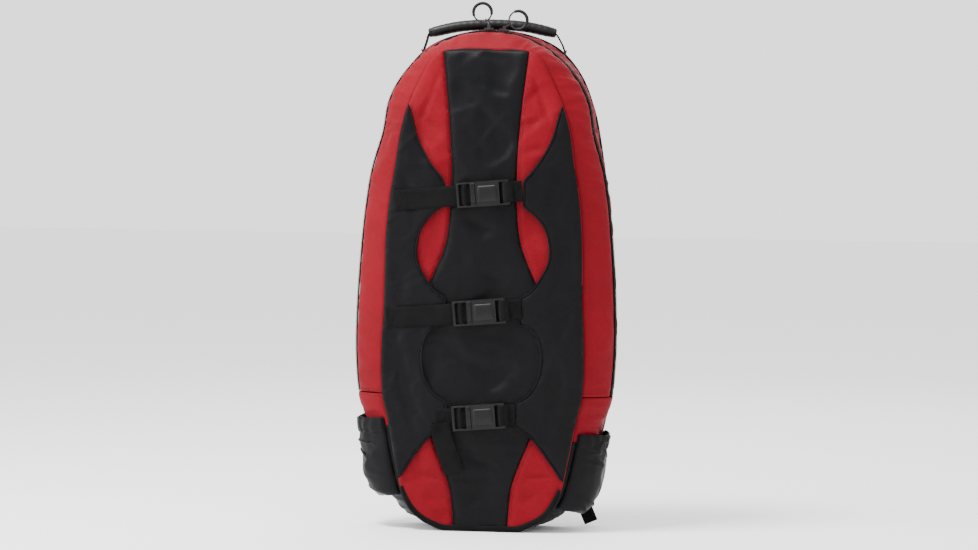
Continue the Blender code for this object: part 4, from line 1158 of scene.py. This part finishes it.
def make_back():
    panel, _ = sewn_panel("fabric_back_panel", back_outline(), back_y, 7 * MM, -2.0 * MM, 5 * MM)
    face_back(panel)
    thick(panel, 2.5 * MM)
    finish_piece(panel, "black_fabric", "bag", "back_panel")
    pad, _ = sewn_panel("mesh_back_pad", back_outline(0.78, 0.80), pad_y, 4.5 * MM, -9.0 * MM, 7 * MM)
    face_back(pad)
    thick(pad, 2.5 * MM)
    finish_piece(pad, "foam_mesh", "bag", "back_foam_pad")
    line = resampled(np.vstack([back_outline(0.78, 0.80), back_outline(0.78, 0.80)[:1]]), 6 * MM)
    path = np.stack([line[:, 0], np.full(len(line), SEAM_Y + PANEL + 3.2 * MM), line[:, 1]], axis=1)
    piping = round_tube("back_pad_binding", path[:-1], 2.2 * MM, 10, closed=True)
    finish_piece(piping, "webbing", "bag")
    seam = resampled(np.vstack([back_outline(), back_outline()[:1]]), 6 * MM)
    depth = np.full(len(seam), SEAM_Y + 1.5 * MM)
    path = np.stack([seam[:, 0], depth, np.maximum(seam[:, 1], 1.9 * MM)], axis=1)
    piping = round_tube("back_seam_piping", path[:-1], 1.9 * MM, 8, closed=True)
    finish_piece(piping, "webbing", "bag")


def pad_y(x, z):
    """Back pad: foam with sewn channels along its middle and across it."""
    channel = 4.5 * MM * np.exp(-((x / (7 * MM)) ** 2))
    for height in (0.20, 0.34, 0.48):
        away = (z - height - 0.25 * np.abs(x)) / (6 * MM)
        channel = np.maximum(channel, 3.5 * MM * np.exp(-(away**2)))
    return SEAM_Y + PANEL + 12.3 * MM - channel + 0.5 * MM * soft_noise(x, z, 0.03, 0.03, 67.0)


def make_harness():
    for side, sign in (("left", -1), ("right", 1)):
        path = smooth(np.array(SHOULDER_ROUTE) * (sign * MM, MM, MM), 16)
        stops = np.linspace(0, len(SHOULDER_WIDTHS) - 1, len(path))
        wide = np.interp(stops, np.arange(len(SHOULDER_WIDTHS)), SHOULDER_WIDTHS) * MM
        make_shoulder_pad(side, path, wide)
        dress(f"ladder_lock_{side}", "buckle_plastic", 0.9 * MM)
        low = np.array(LOWER_WEBBING) * (sign * MM, MM, MM)
        webbing(f"harness_webbing_{side}", low, (1, 0, 0), 20 * MM, nodes=[f"lower_webbing_{side}"])
        tail = np.array(WEBBING_TAILS[side]) * (sign * MM, MM, MM)
        nodes = [f"webbing_tail_{side}"]
        webbing(f"harness_tail_{side}", tail, (1, 0, 0), 20 * MM, 1.6 * MM, nodes=nodes)


def make_shoulder_pad(side, path, wide):
    """Foam strap with a crowned section, bound along its edges."""
    _, across, up = frame_along(path, (1, 0, 0))
    sides = 28
    turn = np.arange(sides) * 2 * math.pi / sides
    wide_part = np.sign(np.cos(turn)) * np.abs(np.cos(turn)) ** 0.55
    thick_part = np.sign(np.sin(turn)) * np.abs(np.sin(turn)) ** 0.8
    points, uvs = [], []
    for index, centre in enumerate(path):
        for a, b in zip(wide_part, thick_part):
            groove = 1 - 0.35 * math.exp(-(((abs(a) - 0.82) / 0.06) ** 2))
            reach = a * wide[index] / 2
            points.append(centre + across[index] * reach + up[index] * b * groove * 5.6 * MM)
            uvs.append((index * 4 * MM, reach))
    rows = len(path)
    faces = []
    for i in range(rows - 1):
        for k in range(sides):
            j = (k + 1) % sides
            faces.append((i * sides + k, i * sides + j, (i + 1) * sides + j, (i + 1) * sides + k))
    faces.append(tuple(range(sides)))
    faces.append(tuple(reversed(range((rows - 1) * sides, rows * sides))))
    item = mesh_object(f"shoulder_pad_{side}", points, faces, uvs)
    repair_normals(item)
    finish_piece(item, "foam_mesh", "bag", f"shoulder_strap_{side}")
    for word, sign in (("inner", -1), ("outer", 1)):
        line = path + across * (sign * wide[:, None] / 2)
        edge = round_tube(f"shoulder_binding_{side}_{word}", line, 1.6 * MM, 8)
        finish_piece(edge, "webbing", "bag")


def make_binding():
    """Black binding folded over the bottom edge of the front."""
    line = on_loop(RIM, np.linspace(15.1, 2 * BOTTOM_STATION - 15.1, 120))
    y = np.full(len(line), RIM_Y - PANEL - 1.2 * MM)
    path = np.stack([line[:, 0] * 0.985, y, line[:, 1] * 0.995 + 4.2 * MM], axis=1)
    radius = 4.2 * MM * (1 - 0.5 * np.abs(np.linspace(-1, 1, len(line))) ** 14)
    item = round_tube("bottom_edge_binding", path, radius, 14, squashed=0.6)
    finish_piece(item, "webbing", "bag", "bottom_binding")


# ---------------------------------------------------------------- stage


def make_stage():
    bpy.ops.mesh.primitive_plane_add(size=40, location=(0, 0, -0.0005))
    floor = bpy.context.object
    floor.name = "floor"
    pale, _, _, shader = new_material("floor")
    shader.inputs["Base Color"].default_value = (0.93, 0.93, 0.93, 1)
    shader.inputs["Roughness"].default_value = 0.9
    floor.data.materials.append(pale)
    world = bpy.data.worlds.new("studio")
    world.use_nodes = True
    background = world.node_tree.nodes["Background"]
    background.inputs["Color"].default_value = (1, 1, 1, 1)
    background.inputs["Strength"].default_value = 1.9
    bpy.context.scene.world = world
    area_light("top_light", (-0.7, -0.62, 2.2), (0, 0, 0.42), 0.6, 80)
    area_light("left_light", (-2.2, -1.1, 1.2), (0, 0, 0.4), 0.9, 34)
    area_light("back_light", (0.4, 2.2, 2.0), (0, 0, 0.4), 1.8, 20)


def area_light(name, location, target, size, power):
    lamp = bpy.data.lights.new(name, "AREA")
    lamp.size = size
    lamp.energy = power
    item = bpy.data.objects.new(name, lamp)
    item.location = location
    item.rotation_euler = (Vector(target) - Vector(location)).to_track_quat("-Z", "Y").to_euler()
    bpy.context.scene.collection.objects.link(item)


def make_camera():
    away = Vector((
        math.sin(CAMERA_AZIMUTH) * math.cos(CAMERA_ELEVATION),
        -math.cos(CAMERA_AZIMUTH) * math.cos(CAMERA_ELEVATION),
        math.sin(CAMERA_ELEVATION),
    ))
    lens = bpy.data.cameras.new("camera")
    lens.sensor_width = 36
    lens.lens = 36 * CAMERA_DISTANCE / PICTURE_WIDTH
    lens.clip_end = 100
    item = bpy.data.objects.new("camera", lens)
    item.location = Vector(CAMERA_AIM) + away * CAMERA_DISTANCE
    aim = (-away).to_track_quat("-Z", "Y") @ Quaternion((0, 0, 1), CAMERA_ROLL)
    item.rotation_euler = aim.to_euler()
    bpy.context.scene.collection.objects.link(item)
    bpy.context.scene.camera = item


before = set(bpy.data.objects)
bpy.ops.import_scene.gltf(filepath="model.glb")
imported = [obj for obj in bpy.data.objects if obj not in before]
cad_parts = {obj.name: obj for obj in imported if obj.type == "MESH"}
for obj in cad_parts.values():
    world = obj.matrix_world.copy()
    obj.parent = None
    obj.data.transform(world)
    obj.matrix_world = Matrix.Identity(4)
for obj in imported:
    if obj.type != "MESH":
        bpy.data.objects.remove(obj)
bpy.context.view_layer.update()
MATERIALS = make_materials()
make_camera()
make_stage()
make_front()
make_wings()
make_side_wall()
make_zip()
make_pockets()
make_straps()
make_buckles()
make_pulls()
make_handle()
make_back()
make_harness()
make_binding()
dress("base_board", "stiffener", 0.5 * MM)
